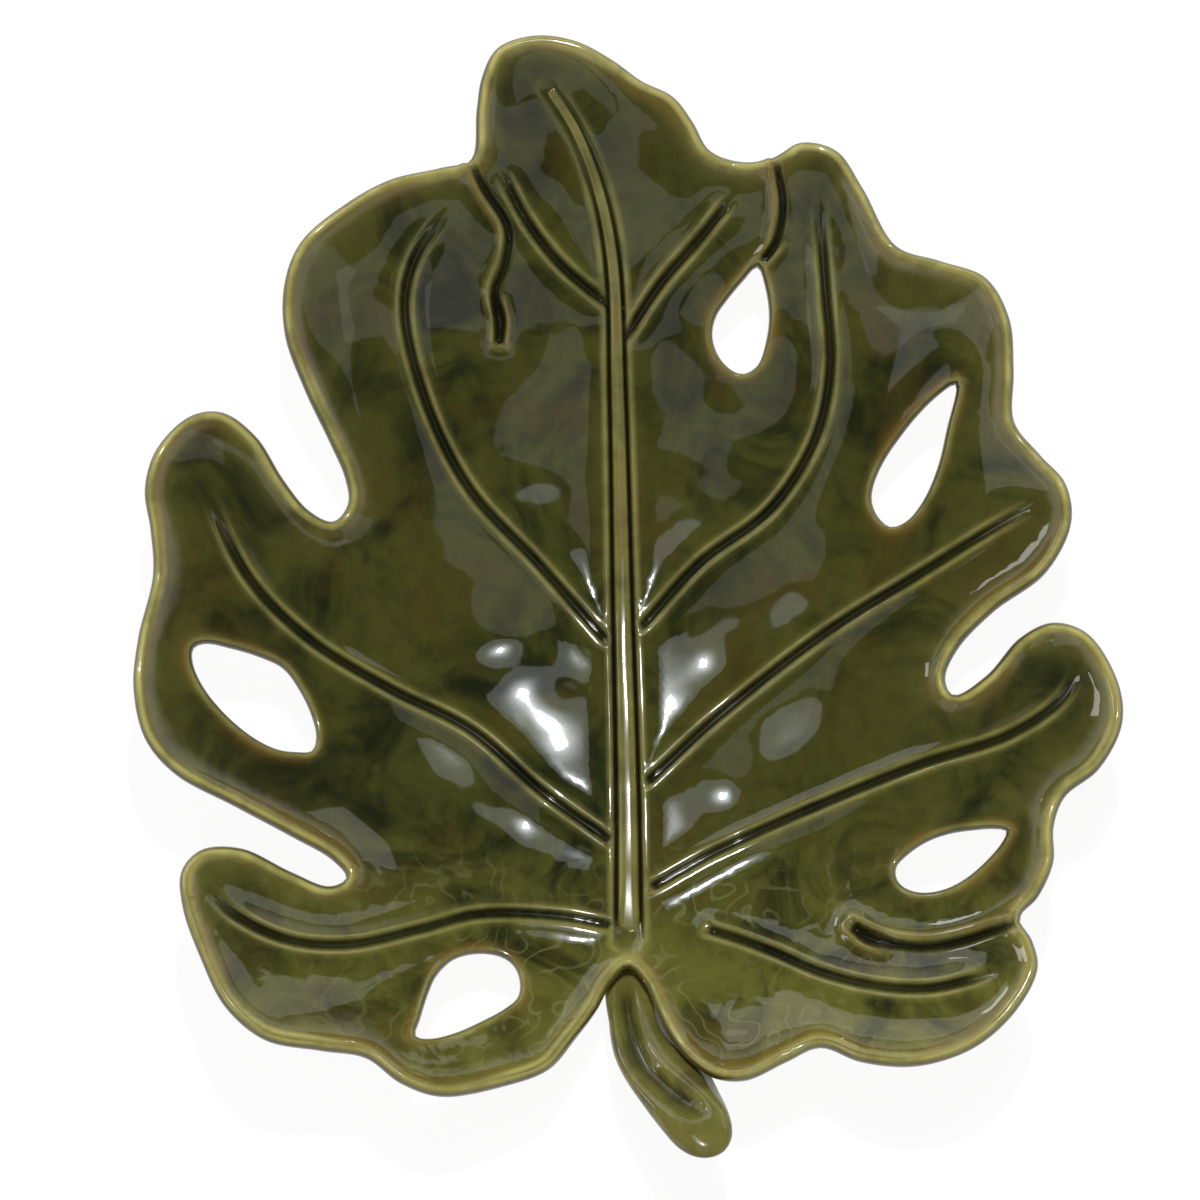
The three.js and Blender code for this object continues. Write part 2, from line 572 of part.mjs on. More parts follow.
// Strip with two soft ridges, seated in its channel
function midrib(material) {
  const length = midribCurve.getLength();
  const count = Math.round(length / VEIN_STEP);
  const endPlay = CHANNEL_END_PLAY / length;
  const sections = [];
  for (let i = 0; i <= count; i += 1) {
    const along = lerp(endPlay, 1 - endPlay, i / count);
    const point = midribCurve.getPointAt(along);
    const run = midribCurve.getTangentAt(along);
    const half = midribHalfWidth(along);
    const slim = lerp(1, MIDRIB_TIP_RATIO, along);
    const base = SEAT_GAP - channelDepth(along);
    const crown = MIDRIB_CROWN * slim;
    const shoulder = lerp(base, crown, MIDRIB_SHOULDER_RATIO);
    const shoulderHalf = half * MIDRIB_SHOULDER_SPREAD_RATIO;
    const crownHalf = half * MIDRIB_CROWN_SPREAD_RATIO;
    const profile = [
      [-half, base], [half, base], [shoulderHalf, shoulder], [crownHalf, crown],
      [0, crown - MIDRIB_DIP * slim], [-crownHalf, crown], [-shoulderHalf, shoulder],
    ];
    sections.push(profile.map(([offset, z]) => {
      const x = point.x + run.y * offset;
      const y = point.y - run.x * offset;
      return [x, y, sheetHeight(x, y) + z];
    }));
  }
  return loft("midrib", sections, false, material);
}

// Guttered stalk: a tongue under the blade rising into the open notch between a fat ridge and a thin one,
// its thin flank tucked under the right base lobe
function stalk(material) {
  const curve = curveThrough(STALK, false);
  const sections = STALK_STATIONS.map(({ along, width, rise, trough, tongue, tuck }) => {
    const point = curve.getPointAt(along);
    const run = curve.getTangentAt(along);
    const room = rise > 0 ? rimDistance(point.x, point.y) - STALK_SIDE_PLAY : Infinity;
    const half = Math.min((STALK_WIDTH * width) / 2, room);
    const seat = -WALL - SEAT_GAP;
    const top = seat + STALK_RISE * rise;
    const ridge = top + STALK_RIDGE * rise;
    const bottom = seat - STALK_TONGUE * tongue;
    const shelf = seat - STALK_SHELF_DROP;
    const floor = top - STALK_TROUGH_DEPTH * trough;
    const shoulder = lerp(shelf, top, STALK_SHOULDER_RATIO);
    const levels = {
      bottom,
      shelf,
      shoulder,
      top,
      ridge,
      waist: (bottom + shelf) / 2,
      flank: lerp(shelf, top, STALK_FLANK_RATIO),
      ridgeFlank: lerp(shoulder, ridge, STALK_FLANK_RATIO),
      ridgeSlope: lerp(ridge, floor, STALK_SLOPE_RATIO),
      trough: floor,
      bank: lerp(top, floor, STALK_SLOPE_RATIO),
    };
    return STALK_PROFILE.map(([across, tucked, level]) => {
      const offset = half * across - STALK_TUCK * tuck * tucked;
      const x = point.x + run.y * offset;
      const y = point.y - run.x * offset;
      return [x, y, hullHeight(x, y) + levels[level]];
    });
  });
  return loft("stalk", sections, false, material);
}

// Turned ring standing on the table, its top dressed to the belly
function footRing(material) {
  const outer = FOOT_DIAMETER / 2;
  const inner = outer - FOOT_WALL;
  const sections = [];
  for (let i = 0; i < FOOT_SECTORS; i += 1) {
    const angle = (i / FOOT_SECTORS) * 2 * Math.PI;
    const place = (radius, z) => {
      const x = radius * Math.cos(angle);
      const y = dishCentreY + radius * Math.sin(angle);
      return [x, y, z ?? undersideHeight(x, y) - SEAT_GAP];
    };
    sections.push([
      place(outer - FOOT_CHAMFER, 0), place(outer, FOOT_CHAMFER), place(outer + FOOT_FLARE),
      place((outer + inner) / 2),
      place(inner - FOOT_FLARE), place(inner, FOOT_CHAMFER), place(inner + FOOT_CHAMFER, 0),
    ]);
  }
  return loft("foot_ring", sections, true, material);
}

function finish(name, color, roughness) {
  return new THREE.MeshStandardMaterial({ name, color, roughness, metalness: 0 });
}

const greenGlaze = finish("green_glaze", 0x5c6230, 0.12);
const brokenGlaze = finish("broken_glaze", 0x857a42, 0.14);
const bareClay = finish("bare_clay", 0xc2a784, 0.85);

const bowl = new THREE.Group();
bowl.name = "leaf_bowl";
bowl.add(leafBlade(greenGlaze), midrib(brokenGlaze), stalk(brokenGlaze), footRing(bareClay));

// Origin at the middle of the whole bowl's box, on the table
const box = new THREE.Box3().setFromObject(bowl);
const middle = box.getCenter(new THREE.Vector3());
bowl.children.forEach((mesh) => mesh.geometry.translate(-middle.x, -middle.y, -box.min.z));

export default bowl;
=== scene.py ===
import math

import bmesh
import bpy
import numpy as np
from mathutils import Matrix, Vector, geometry, kdtree


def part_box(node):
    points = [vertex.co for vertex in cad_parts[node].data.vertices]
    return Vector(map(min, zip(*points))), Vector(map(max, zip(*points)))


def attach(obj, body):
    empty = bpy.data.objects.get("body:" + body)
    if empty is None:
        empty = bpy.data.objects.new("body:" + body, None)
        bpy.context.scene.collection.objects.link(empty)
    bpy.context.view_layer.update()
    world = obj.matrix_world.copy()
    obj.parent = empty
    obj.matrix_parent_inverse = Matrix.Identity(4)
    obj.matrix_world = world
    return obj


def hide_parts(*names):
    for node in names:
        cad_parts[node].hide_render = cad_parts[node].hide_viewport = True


# Leaf-shaped bowl in glazed stoneware, dressed over its solids: a glazed blade, midrib and stalk on a foot
# ring of bare clay. Plan work is in millimetres in the bowl's own frame, and meshes are in metres.

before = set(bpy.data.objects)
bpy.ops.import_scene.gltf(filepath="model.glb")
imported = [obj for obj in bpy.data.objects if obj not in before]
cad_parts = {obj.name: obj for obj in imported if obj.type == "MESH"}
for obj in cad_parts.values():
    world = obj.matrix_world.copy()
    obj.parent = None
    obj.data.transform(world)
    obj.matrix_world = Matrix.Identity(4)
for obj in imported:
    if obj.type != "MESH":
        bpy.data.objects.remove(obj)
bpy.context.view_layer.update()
MM = 0.001

# Blade
BLADE_WIDTH = 300.0
BLADE_LENGTH = 327.0
BOWL_DEPTH = 48.0
BELLY_CLEARANCE = 6.5
WALL = 6.5
RIM_ROUND = 2.4
HOLE_ROUND = 1.5
RIM_BEAD_HEIGHT = 1.5
RIM_BEAD_WIDTH = 2.8
GUTTER_DEPTH = 3.2
GUTTER_WIDTH = 22.0
GUTTER_START = 0.2
GUTTER_FULL = 0.9
PANEL_SINK = 1.8
PANEL_REACH = 18.0
PANEL_SETBACK = 20.0

# Bowl form: a flattened cosine dish, centred over the foot ring
DISH_OFFSET = 0.064
DISH_REACH = 0.508
DISH_FLATNESS = 1.8
DISH_CURL = 0.8 * math.pi

# Hand-pressed unevenness
WAVE_COUNT = 7
WAVE_PITCH = 38.0
WAVE_SPREAD = 0.35
WAVE_HEIGHT = 0.07
WAVE_EDGE_RAMP = (3, 14)
GOLDEN_ANGLE = math.radians(137.5)

# Side veins, each a groove between two lips
VEIN_DEPTH = 1.3
VEIN_GROOVE_WIDTH = 0.85
VEIN_LIP_HEIGHT = 1.3
VEIN_LIP_OFFSET = 2.2
VEIN_LIP_INNER = 1.15
VEIN_LIP_OUTER = 3.4
VEIN_FADE_START = 0.84
VEIN_CREST_SETBACK = 0.3
VEIN_CREST_WIDTH = 0.8
VEIN_POOL_WIDTH = 1.25
LIP_FUSING = 4

# Slits, where one lobe's edge is pressed over the next, each opening into a pocket that ends in a point
SLIT_DEPTH = 2.4
SLIT_GROOVE_WIDTH = 0.9
SLIT_POCKET_START = 0.72
SLIT_POCKET_RAMP = 0.15
SLIT_POCKET_DEEPER = 0.4
SLIT_POCKET_PINCH = 0.3
SLIT_POINT_START = 0.9
SLIT_POINT_TAPER = 0.5
SLIT_CREST_SHARE = 0.6

# For each slit: height and width of the bead along its pressed-over edge, width of its pocket
SLIT_BEADS = [(1.7, 1.7, 1.5), (1.5, 1.6, 1.0), (2.2, 2.3, 1.9)]

# Midrib strip
MIDRIB_ROOT_WIDTH = 7.2
MIDRIB_TIP_WIDTH = 3.0
MIDRIB_CROWN = 1.9
MIDRIB_CROWN_TAPER = 0.5
MIDRIB_SHOULDER = 0.62
MIDRIB_WAIST = 0.14
MIDRIB_DIP = 0.25
MIDRIB_DIP_TAPER = 0.7
MIDRIB_DIP_WIDTH = 0.4
MIDRIB_BEDDING = 0.1
MIDRIB_ROOT_SINK = 0.15
MIDRIB_ROOT_RAMP = (-4, 22)

# Channel that takes the midrib
CHANNEL_DEPTH = 1.4
CHANNEL_SIDE_PLAY = 0.15
CHANNEL_SLOPE = 1.1
CHANNEL_END_PLAY = 1.0
CHANNEL_TIP_START = 0.75
CHANNEL_TIP_FADE = 0.8
CHANNEL_ROOT_RAMP = (-0.5, 9)
CHANNEL_LIP_SETBACK = 0.6
CHANNEL_CREST_WIDTH = 1.1
CHANNEL_POOL_SETBACK = 0.2
CHANNEL_POOL_WIDTH = 0.8
CHANNEL_POOL_RAMP = (-1, 6)

# Stalk: a fat and a thin ridge either side of a gutter, places on its section as shares of its half width
# or half height
STALK_NECK_WIDTH = 15.0
STALK_TONGUE = 5.6
STALK_SEAT_PLAY = 0.2
STALK_TROUGH_DEPTH = 3.8
STALK_EASY_WALL = 0.42
STALK_STEEP_WALL = 0.2
STALK_RIDGE = 1.6
STALK_RIDGE_PLACE = 0.6
STALK_RIDGE_WIDTH = 0.38
STALK_THIN_RIDGE = 0.35
STALK_THIN_RIDGE_WIDTH = 0.4
STALK_TUCK = 3.6
STALK_TUCK_PLACE = -0.35
STALK_TUCK_WIDTH = 0.4
STALK_SIDE_POWER = 0.75
STALK_TOP_POWER = 0.7
STALK_UPPER_RAMP = (0, 0.5)
STALK_KNOB_START = 0.84
STALK_KNOB_LEAST = 0.05

# Stalk stations, each a share of the way along and a value there: width, thickness, rise of its top in
# millimetres, depth of its gutter, height of its ridges, place of its gutter, tuck of its left side
STALK_WIDTHS = [(0, 0.7), (0.2, 1), (0.36, 1), (0.48, 1.15), (0.6, 1.235), (0.72, 1.3), (1, 1.3)]
STALK_BODIES = [(0, 0.35), (0.2, 0.85), (0.36, 1), (1, 1)]
STALK_RISES = [(0, 0), (0.3, 0), (0.36, 0.6), (0.48, 2.2), (0.6, 3.4), (0.72, 4.2), (0.83, 4.5), (1, 4.3)]
STALK_TROUGHS = [(0, 0), (0.2, 0.4), (0.3, 1), (0.48, 1), (0.78, 1), (0.86, 0), (1, 0)]
STALK_RIDGES = [(0, 0), (0.3, 0), (0.42, 1), (0.8, 1), (0.9, 0.2), (1, 0)]
STALK_GUTTERS = [
    (0, 0.1), (0.2, 0.1), (0.44, 0.12), (0.58, 0.14), (0.68, 0), (0.76, -0.16), (0.82, -0.28), (1, -0.3),
]
STALK_TUCKS = [(0, 0), (0.36, 0.4), (0.48, 1), (0.72, 1), (0.83, 0.4), (0.92, 0), (1, 0)]

# Foot ring
FOOT_DIAMETER = 100.0
FOOT_WALL = 8.0
FOOT_FLARE = 2.4
FOOT_CHAMFER = 0.8
FOOT_LET_IN = 1.2
FOOT_SEGMENTS = 144

# Mesh steps, with rows of points beside grooves and edges
EDGE_STEP = 1.6
VEIN_STEP = 1.6
FILL_STEP = 2.3
UNDER_STEP = 4.0
FILL_SPACING = 0.7
FILL_EDGE_PLAY = 1.2
UNDER_EDGE_PLAY = 2.0
LINE_ROWS = (0.4, 0.8, 1.3, 1.9, 2.6, 3.5, 4.8, 6.4)
LINE_SPACING = 0.35
LINE_EDGE_PLAY = 0.8
CHANNEL_ROWS = (0, 0.5, 1)
SLOPE_ROWS = (0.25, 0.5, 0.75, 1, 1.5, 2.2, 3.2)
CHANNEL_SPACING = 0.28
RIM_ROWS = (1.2, 2.5, 4.2)
RIM_ROW_SPACING = 0.8
RIM_ROW_PLAY = 0.9
RIM_STEPS = 12
MIDRIB_SECTION_POINTS = 15
STALK_SECTION_POINTS = 56
STALK_BODY_RINGS = 36
STALK_KNOB_RINGS = 13
CURVE_STEPS = 24
LEAST_STEPS = 8
TREE_FINENESS = 4
BATCH = 4000
WELD = 0.02
MERGE = 1e-5

# Glaze layers painted on the meshes, and the shares of them that each form gets
GLAZE_LAYERS = ("thin", "pool", "amber", "ripple_and_painted_sheen", "satin")
VEIN_THIN = 0.45
VEIN_POOL = 0.8
SLIT_THIN = 0.5
SLIT_AMBER = 0.65
UNDER_THIN = 0.12

# Pale crest of the rim, which wanders a little and moves inward toward the base
RIM_CREST_THIN = 0.95
RIM_CREST_WIDTH = 0.85
RIM_CREST_SETBACK = 0.2
RIM_CREST_DRIFT = 0.4
RIM_CREST_RAMP = (70, 130)
RIM_WANDER = 0.5
RIM_WANDER_ACROSS = 13
RIM_WANDER_ALONG = 17
RIM_WANDER_PHASE = 1

# Soft bands of glaze along edges: share, setback and width
RIM_THIN_BANDS = [(0.13, 4.8, 1.9), (0.035, 6, 8)]
RIM_AMBER_BAND = (0.6, 4.2, 1.6)
HOLE_THIN_BAND = (0.5, HOLE_ROUND, 0.9)
HOLE_AMBER_BAND = (0.8, 1, 2.8)

# Glaze round the roll of an edge, by how far it faces up there: ramps from and to, and a band as above
# Pale thin glaze kept to the roll's upward face, partly painted light: the side turned away stays dark as
# painted shade
ROLL_LIT_THIN_RAMP = (0.72, 1)
HOLE_ROLL_LIT_THIN = 0.5
# Dark on the downward face of a hole's roll, painted shade
HOLE_ROLL_SHADE = 0.6
HOLE_ROLL_SHADE_RAMP = (-0.2, 0.8)
ROLL_AMBER_BAND = (0.7, 0.45, 0.35)
ROLL_SATIN_RAMP = (-1, -0.3)

# Fine ripples in the glaze near the stalk, with pale strands over them that are painted reflections
RIPPLE_AND_SHEEN_REACH = 90
RIPPLE_AND_SHEEN_RAMP = (78, 100)

# Glaze on the midrib by height and by place across it, and on the stalk
MIDRIB_THIN = 0.34
MIDRIB_THIN_RAMP = (0.45, 1)
MIDRIB_RIDGE_THIN_BAND = (0.2, 0.7, 0.22)
MIDRIB_POOL_RAMP = (0.1, 0.5)
MIDRIB_AMBER_BAND = (0.3, 0, 0.5)
STALK_THIN = 0.06
STALK_UPPER_THIN = 0.16
# Dark in the stalk's gutter: pooled glaze, and painted shade under the blade's notch and lobe
STALK_POOL_AND_SHADE = 0.7
STALK_POOL_AND_SHADE_RAMP = (0.35, 1)
STALK_AMBER = 0.2

# Outline of the blade, clockwise from the notch left of the apex lobe: percent of width across, percent of
# length along, both from the middle of the blade
APEX_LOBE = [
    (-16.2, 39), (-15.6, 43.2), (-15, 46.2), (-13.4, 48.8), (-9.6, 50), (-5.3, 49.5), (-1.4, 47.7),
    (1.5, 45.9), (4.8, 44.5), (6.9, 42.3), (8.6, 40), (12.4, 38.9), (15.4, 39.2),
]
UPPER_RIGHT_LOBE = [
    (18.1, 40.3), (21.8, 39.4), (24.5, 36), (28, 30.6), (32.5, 28.8), (37, 26.9), (39.4, 23), (39.9, 18.2),
    (40, 13.7),
]
RIGHT_LOBE = [
    (42.6, 10.4), (45.1, 7.5), (45.6, 3.7), (43, -0.8), (38, -3.9), (34.4, -7.2), (33.1, -10), (33.9, -11.6),
]
LOWER_RIGHT_LOBE = [
    (37.1, -10), (40.4, -6.7), (43.6, -5.5), (47, -6.8), (49.8, -11.7), (50, -15.8), (47.6, -19.9),
    (44.3, -22.3), (43.1, -25.1), (42.9, -28.5), (41.3, -31.7), (39.5, -33.6),
]
RIGHT_BASE_LOBE = [
    (40.6, -35.8), (41, -38.4), (38.7, -42.3), (34.4, -45.7), (28.7, -47.3), (23.3, -46.8), (19.4, -45.4),
    (16, -46.7), (11.9, -48.4), (8.9, -48.2),
]
STALK_NOTCH = [
    (6.4, -46.7), (4.5, -44.5), (3.1, -41.9), (1.8, -39.1), (0.1, -37.5), (-1.7, -39.1), (-3.1, -41.6),
]
LEFT_BASE_LOBE = [
    (-5.2, -44.3), (-7.9, -47.3), (-12.2, -48.9), (-18.7, -50), (-22.7, -48.8), (-26.2, -46.5),
    (-30.6, -45.9), (-36.1, -45), (-40.1, -42), (-42.7, -37.5), (-44.7, -32.6), (-44.9, -29.3), (-43, -27.2),
    (-39.1, -26.9), (-34.2, -28.9), (-30.4, -30.1), (-28.8, -29.2), (-30.3, -27.5), (-34.3, -25.5),
]
LEFT_LOBE = [
    (-40, -22.9), (-45.7, -20.3), (-48.7, -17.2), (-50, -12.5), (-49.7, -7.7), (-48.4, -1.5), (-48.7, 2.7),
    (-49.3, 6.5), (-48.2, 10.3), (-44.8, 13.7), (-41.6, 14.3), (-38.3, 12.4), (-35.6, 8.7), (-33.1, 6.1),
    (-30.7, 5.3), (-29.2, 7.1), (-29.5, 9.5),
]
UPPER_LEFT_LOBE = [
    (-31, 12.6), (-33.4, 17), (-35.4, 21.9), (-35.4, 26.5), (-33.7, 30.4), (-29.1, 34.2), (-24.5, 36.7),
    (-19.3, 38.1),
]
OUTLINE = (
    APEX_LOBE + UPPER_RIGHT_LOBE + RIGHT_LOBE + LOWER_RIGHT_LOBE + RIGHT_BASE_LOBE
    + STALK_NOTCH + LEFT_BASE_LOBE + LEFT_LOBE + UPPER_LEFT_LOBE
)

# Pierced holes, each from its sharp end
HOLES = [
    [
        (13.7, 29.7), (12.3, 28.6), (10.6, 26.9), (9.5, 25.5), (9.1, 23.8), (9.7, 22), (11.1, 20.6),
        (12.4, 20.2), (13.8, 20.9), (14.6, 22.7), (15, 25.2), (14.6, 27.8),
    ],
    [
        (34.1, 17.6), (32.4, 16.8), (30.4, 15.2), (28.7, 13.4), (27.2, 11.5), (26.1, 9.4), (25.8, 7.7),
        (26.4, 6.2), (27.7, 5.1), (29.3, 5.5), (31, 7.3), (32.4, 10.2), (33.3, 13.7),
    ],
    [
        (-44.3, -8.1), (-43.2, -7.5), (-40.7, -7.7), (-38.1, -8.2), (-35.7, -9.1), (-34, -11.1),
        (-32.7, -13.6), (-32.2, -15.6), (-32.6, -17), (-34, -17.2), (-35.9, -17.1), (-38.2, -16.2),
        (-41, -14.2), (-43.2, -11.8), (-44.3, -9.6),
    ],
    [
        (-21.3, -44.3), (-20.9, -42.6), (-20.2, -40.2), (-19.4, -38.4), (-17.7, -36.8), (-15.3, -36.2),
        (-12.9, -36.5), (-11.6, -37.4), (-11, -38.9), (-11.2, -40.4), (-12.5, -41.5), (-14.9, -42.8),
        (-17.4, -43.9), (-19.8, -44.5),
    ],
    [
        (38.5, -25.2), (37.4, -24.9), (35.4, -24.9), (33.1, -25.1), (31, -25.7), (29.2, -26.7), (27.7, -28.1),
        (27.7, -29.3), (28.5, -30.2), (30.1, -30.7), (32.2, -30.5), (34.3, -29.6), (36.4, -28), (38, -26.3),
    ],
]

# Midrib from its root to the apex, and side veins from the midrib outward
MIDRIB = [
    (0.2, -34.6), (0.1, -21.1), (-0.4, -1.7), (-0.9, 17.8), (-1.5, 30.5), (-3, 36.5), (-5.4, 41.5),
    (-8.1, 45),
]
VEINS = [
    [(-1.8, 26.3), (-7, 30), (-10.6, 33.9), (-13.2, 38.1)],
    [(0, 23.6), (3.6, 28.3), (7.7, 32.3), (11.3, 36)],
    [(-2.4, -5.3), (-9.1, 1.7), (-16.5, 9), (-21.2, 17.4), (-23.2, 25.4), (-22.1, 29.9), (-18.2, 34.8)],
    [(1.8, -4), (7.8, 2), (15.2, 7.1), (19.9, 13.7), (21.4, 20.2), (20.8, 27.4), (19.9, 36)],
    [(-2, -24.9), (-9, -20.2), (-16.3, -14.4), (-24.7, -10.6), (-33, -6.2), (-39, -0.9), (-43.4, 7)],
    [(2.4, -19.2), (9.8, -12.9), (21.4, -4.7), (30.7, 0.3), (38.7, 4.3), (43, 6.1)],
    [
        (-2, -33.3), (-6.9, -32.5), (-15.1, -32.4), (-21.2, -34), (-28.2, -35.7), (-34.1, -35.5),
        (-39.5, -33.3), (-43, -30.2),
    ],
    [(2.9, -29.5), (9.7, -26), (20.1, -21.8), (30.4, -18.2), (39.3, -15.9), (44.2, -13), (46.2, -9.8)],
    [
        (8.7, -33.9), (12.1, -35), (15.7, -36.4), (19.3, -38), (24.6, -39.5), (29.9, -40), (33.4, -39.5),
        (37.6, -38.4),
    ],
]

# Slits from their mouth on the rim inward, the pressed-over edge on the right of travel
SLITS = [
    [(-16.3, 38.7), (-14.8, 36.3), (-12.4, 33), (-12.7, 29.9), (-13.8, 27.4), (-13.3, 24.9), (-13.4, 23.1)],
    [(15.4, 38.9), (16.3, 34.9), (15.6, 31.6), (14.2, 30)],
    [(39, -34.2), (36.4, -34.9), (33.6, -35.6), (30.1, -36), (26.6, -35.5), (24.4, -34.7), (23.3, -33.9)],
]

# Thumbed hollows: percent across and along, length and width in millimetres, heading in degrees, depth
HOLLOWS = [
    (0, 0, 30, 22, 0, 1.8),
    (0, -8.0, 12, 12, 0, 0.8),
    (-12.6, -5.7, 12, 24, -53, 1.3),
    (-10.5, -24.1, 12, 24, -28, 1.1),
    (7.1, -7.3, 12, 24, 60, 1.0),
    (11.2, -21.8, 12, 24, 38, 1.1),
]

# Centre line of the stalk from its tongue under the blade to its rounded end
STALK = [(0.1, -33.5), (0.1, -37.9), (0.5, -41.7), (1.6, -45.5), (4.9, -49.8), (7.5, -52.8), (9.6, -54.9)]

# Colours of the glaze and the clay
OLIVE = (0.083, 0.085, 0.014, 1)
# Paler olive toward the lower right lobes is a painted sheen
PAINTED_SHEEN_OLIVE = (0.175, 0.178, 0.030, 1)
DEEP_GREEN = (0.015, 0.019, 0.004, 1)
BROWN = (0.088, 0.062, 0.010, 1)
BROKEN_OLIVE = (0.600, 0.540, 0.165, 1)
AMBER = (0.210, 0.120, 0.022, 1)
# Near black of pooled glaze, also used as painted shade on the holes' rolls and in the stalk's gutter
POOLED_AND_SHADED = (0.011, 0.011, 0.006, 1)
# Pale strands near the stalk, painted reflections of the glaze ripples
PAINTED_SHEEN_STRAND = (0.300, 0.310, 0.130, 1)
PALE_CLAY = (0.54, 0.39, 0.24, 1)
DARK_CLAY = (0.42, 0.28, 0.16, 1)
CLAY_SPECK = (0.12, 0.07, 0.04, 1)

# Patterns in the glaze and the clay, with scales per metre
CLOUD = {"Scale": 32.0, "Detail": 4.0, "Roughness": 0.6, "Distortion": 1.0}
PATCH = {"Scale": 41.0, "Detail": 3.0, "Roughness": 0.5, "Distortion": 0.4}
FLECK = {"Scale": 210.0, "Detail": 4.0, "Roughness": 0.6}
BREAK = {"Scale": 85.0, "Detail": 3.0, "Roughness": 0.6}
SAG = {"Scale": 48.0, "Detail": 0.0, "Distortion": 2.0}
FLOW = {"Scale": 14.0, "Distortion": 22.0, "Detail": 1.5, "Detail_Scale": 4.5, "Detail_Roughness": 0.45}
CLAY_GRAIN = {"Scale": 900.0, "Detail": 3.0}
CLAY_TONE = {"Scale": 60.0, "Detail": 3.0}

# How much of a pattern shows: from and to on the pattern or place, from and to of its share
# Painted sheen toward the lower right lobes, along and across the blade
PAINTED_SHEEN_ALONG = (-0.145, -0.045, 1.0, 0.0)
PAINTED_SHEEN_ACROSS = (-0.12, -0.02, 0.4, 1.0)
DEEP_ALONG = (0.1, 0.16, 0.0, 0.35)
CLOUD_SHARE = (0.3, 0.62, 0.0, 1.0)
BROWN_SHARE = (0.52, 0.74, 0.0, 0.7)
FLECK_SHARE = (0.35, 0.75, 0.0, 0.28)
BREAK_SHARE = (0.32, 0.62, 0.55, 1.0)
STAIN_SHARE = (0.38, 0.6, 0.1, 0.85)
# Strands of painted reflection, and where they break off
SHEEN_STRAND_SHARE = (0.84, 1.0, 0.0, 0.34)
SHEEN_STRAND_BREAK_SHARE = (0.36, 0.56, 0.0, 1.0)
SAG_SHARE = (0.0, 1.0, 0.18, 0.5)
FLOW_RIPPLE = 0.09
TONE_SHARE = (0.35, 0.7, 0.0, 1.0)
SPECK_SHARE = (0.66, 0.74, 0.0, 0.6)

# Surface of the finishes, with ripple depths in metres
GLAZE_ROUGHNESS = (0.0, 1.0, 0.04, 0.5)
GLAZE_IOR = 1.52
GREEN_RIPPLE = 0.00026
BROKEN_RIPPLE = 0.0002
CLAY_ROUGHNESS = 0.88
CLAY_GRAIN_DEPTH = 0.0002
CLAY_GRAIN_STRENGTH = 0.6

# Camera, with its target in millimetres and its clipping in metres
FRAME_SIDE = 1200
PHOTO_SCALE = 3.25
CAMERA_DISTANCE = 1250.0
CAMERA_ELEVATION = math.radians(80)
CAMERA_TARGET = (-8.5, -1.6, 45.0)
SENSOR = 36.0
CLIP_NEAR = 0.05
CLIP_FAR = 50

# Floor paper, which glows white where it is seen and still keeps a shadow
FLOOR_HALF = 6
FLOOR_COLOUR = (0.9, 0.9, 0.9, 1)
FLOOR_ROUGHNESS = 0.9
FLOOR_GLOW = 1.12
FLOOR_GLOW_SHARE = 0.82
WHITE = (1, 1, 1, 1)

# Room, pale low down and dark overhead: from and to by how far up one looks, from and to of its glow
ROOM_GLOW = (0.12, 0.34, 1.0, 0.08)

# Softbox, in metres: dim edge as a share of its middle, and how steeply it falls off
SOFTBOX_PLACE = (0.03, 0.35, 1.26)
SOFTBOX_SIZE = (0.54, 0.46)
SOFTBOX_RADIANCE = 18.0
SOFTBOX_EDGE = 0.08
SOFTBOX_FALL = 2.4
SOFTBOX_TINT = (0.90, 0.97, 1.0)

# Bulb in the softbox, and plain cards and windows: place and size in metres, radiance
BULB = ((0.03, 0.34, 1.25), (0.07, 0.07), 380.0)
CARDS = {
    "near_card": ((-0.10, -0.25, 1.24), (0.60, 0.70), 0.55),
    "far_card": ((0.0, -0.86, 1.18), (3.2, 0.26), 0.6),
    "left_card": ((-1.6, -0.72, 0.85), (0.7, 0.9), 0.85),
    "right_card": ((1.6, -0.72, 0.85), (0.7, 0.9), 0.5),
    "left_window": ((-1.40, 0.42, 0.60), (0.28, 0.22), 5.0),
    "back_left_window": ((-0.91, 1.14, 0.56), (0.22, 0.20), 6.0),
    "back_left_card": ((-0.55, 1.25, 0.70), (0.9, 0.5), 1.4),
    "back_right_card": ((0.95, 1.2, 0.80), (0.6, 0.45), 1.1),
}

foot_low, foot_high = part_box("foot_ring")
DISH_X = (foot_low.x + foot_high.x) / 2 / MM
DISH_Y = (foot_low.y + foot_high.y) / 2 / MM
PLAN_X = DISH_X
PLAN_Y = DISH_Y + DISH_OFFSET * BLADE_LENGTH


# Plan curves

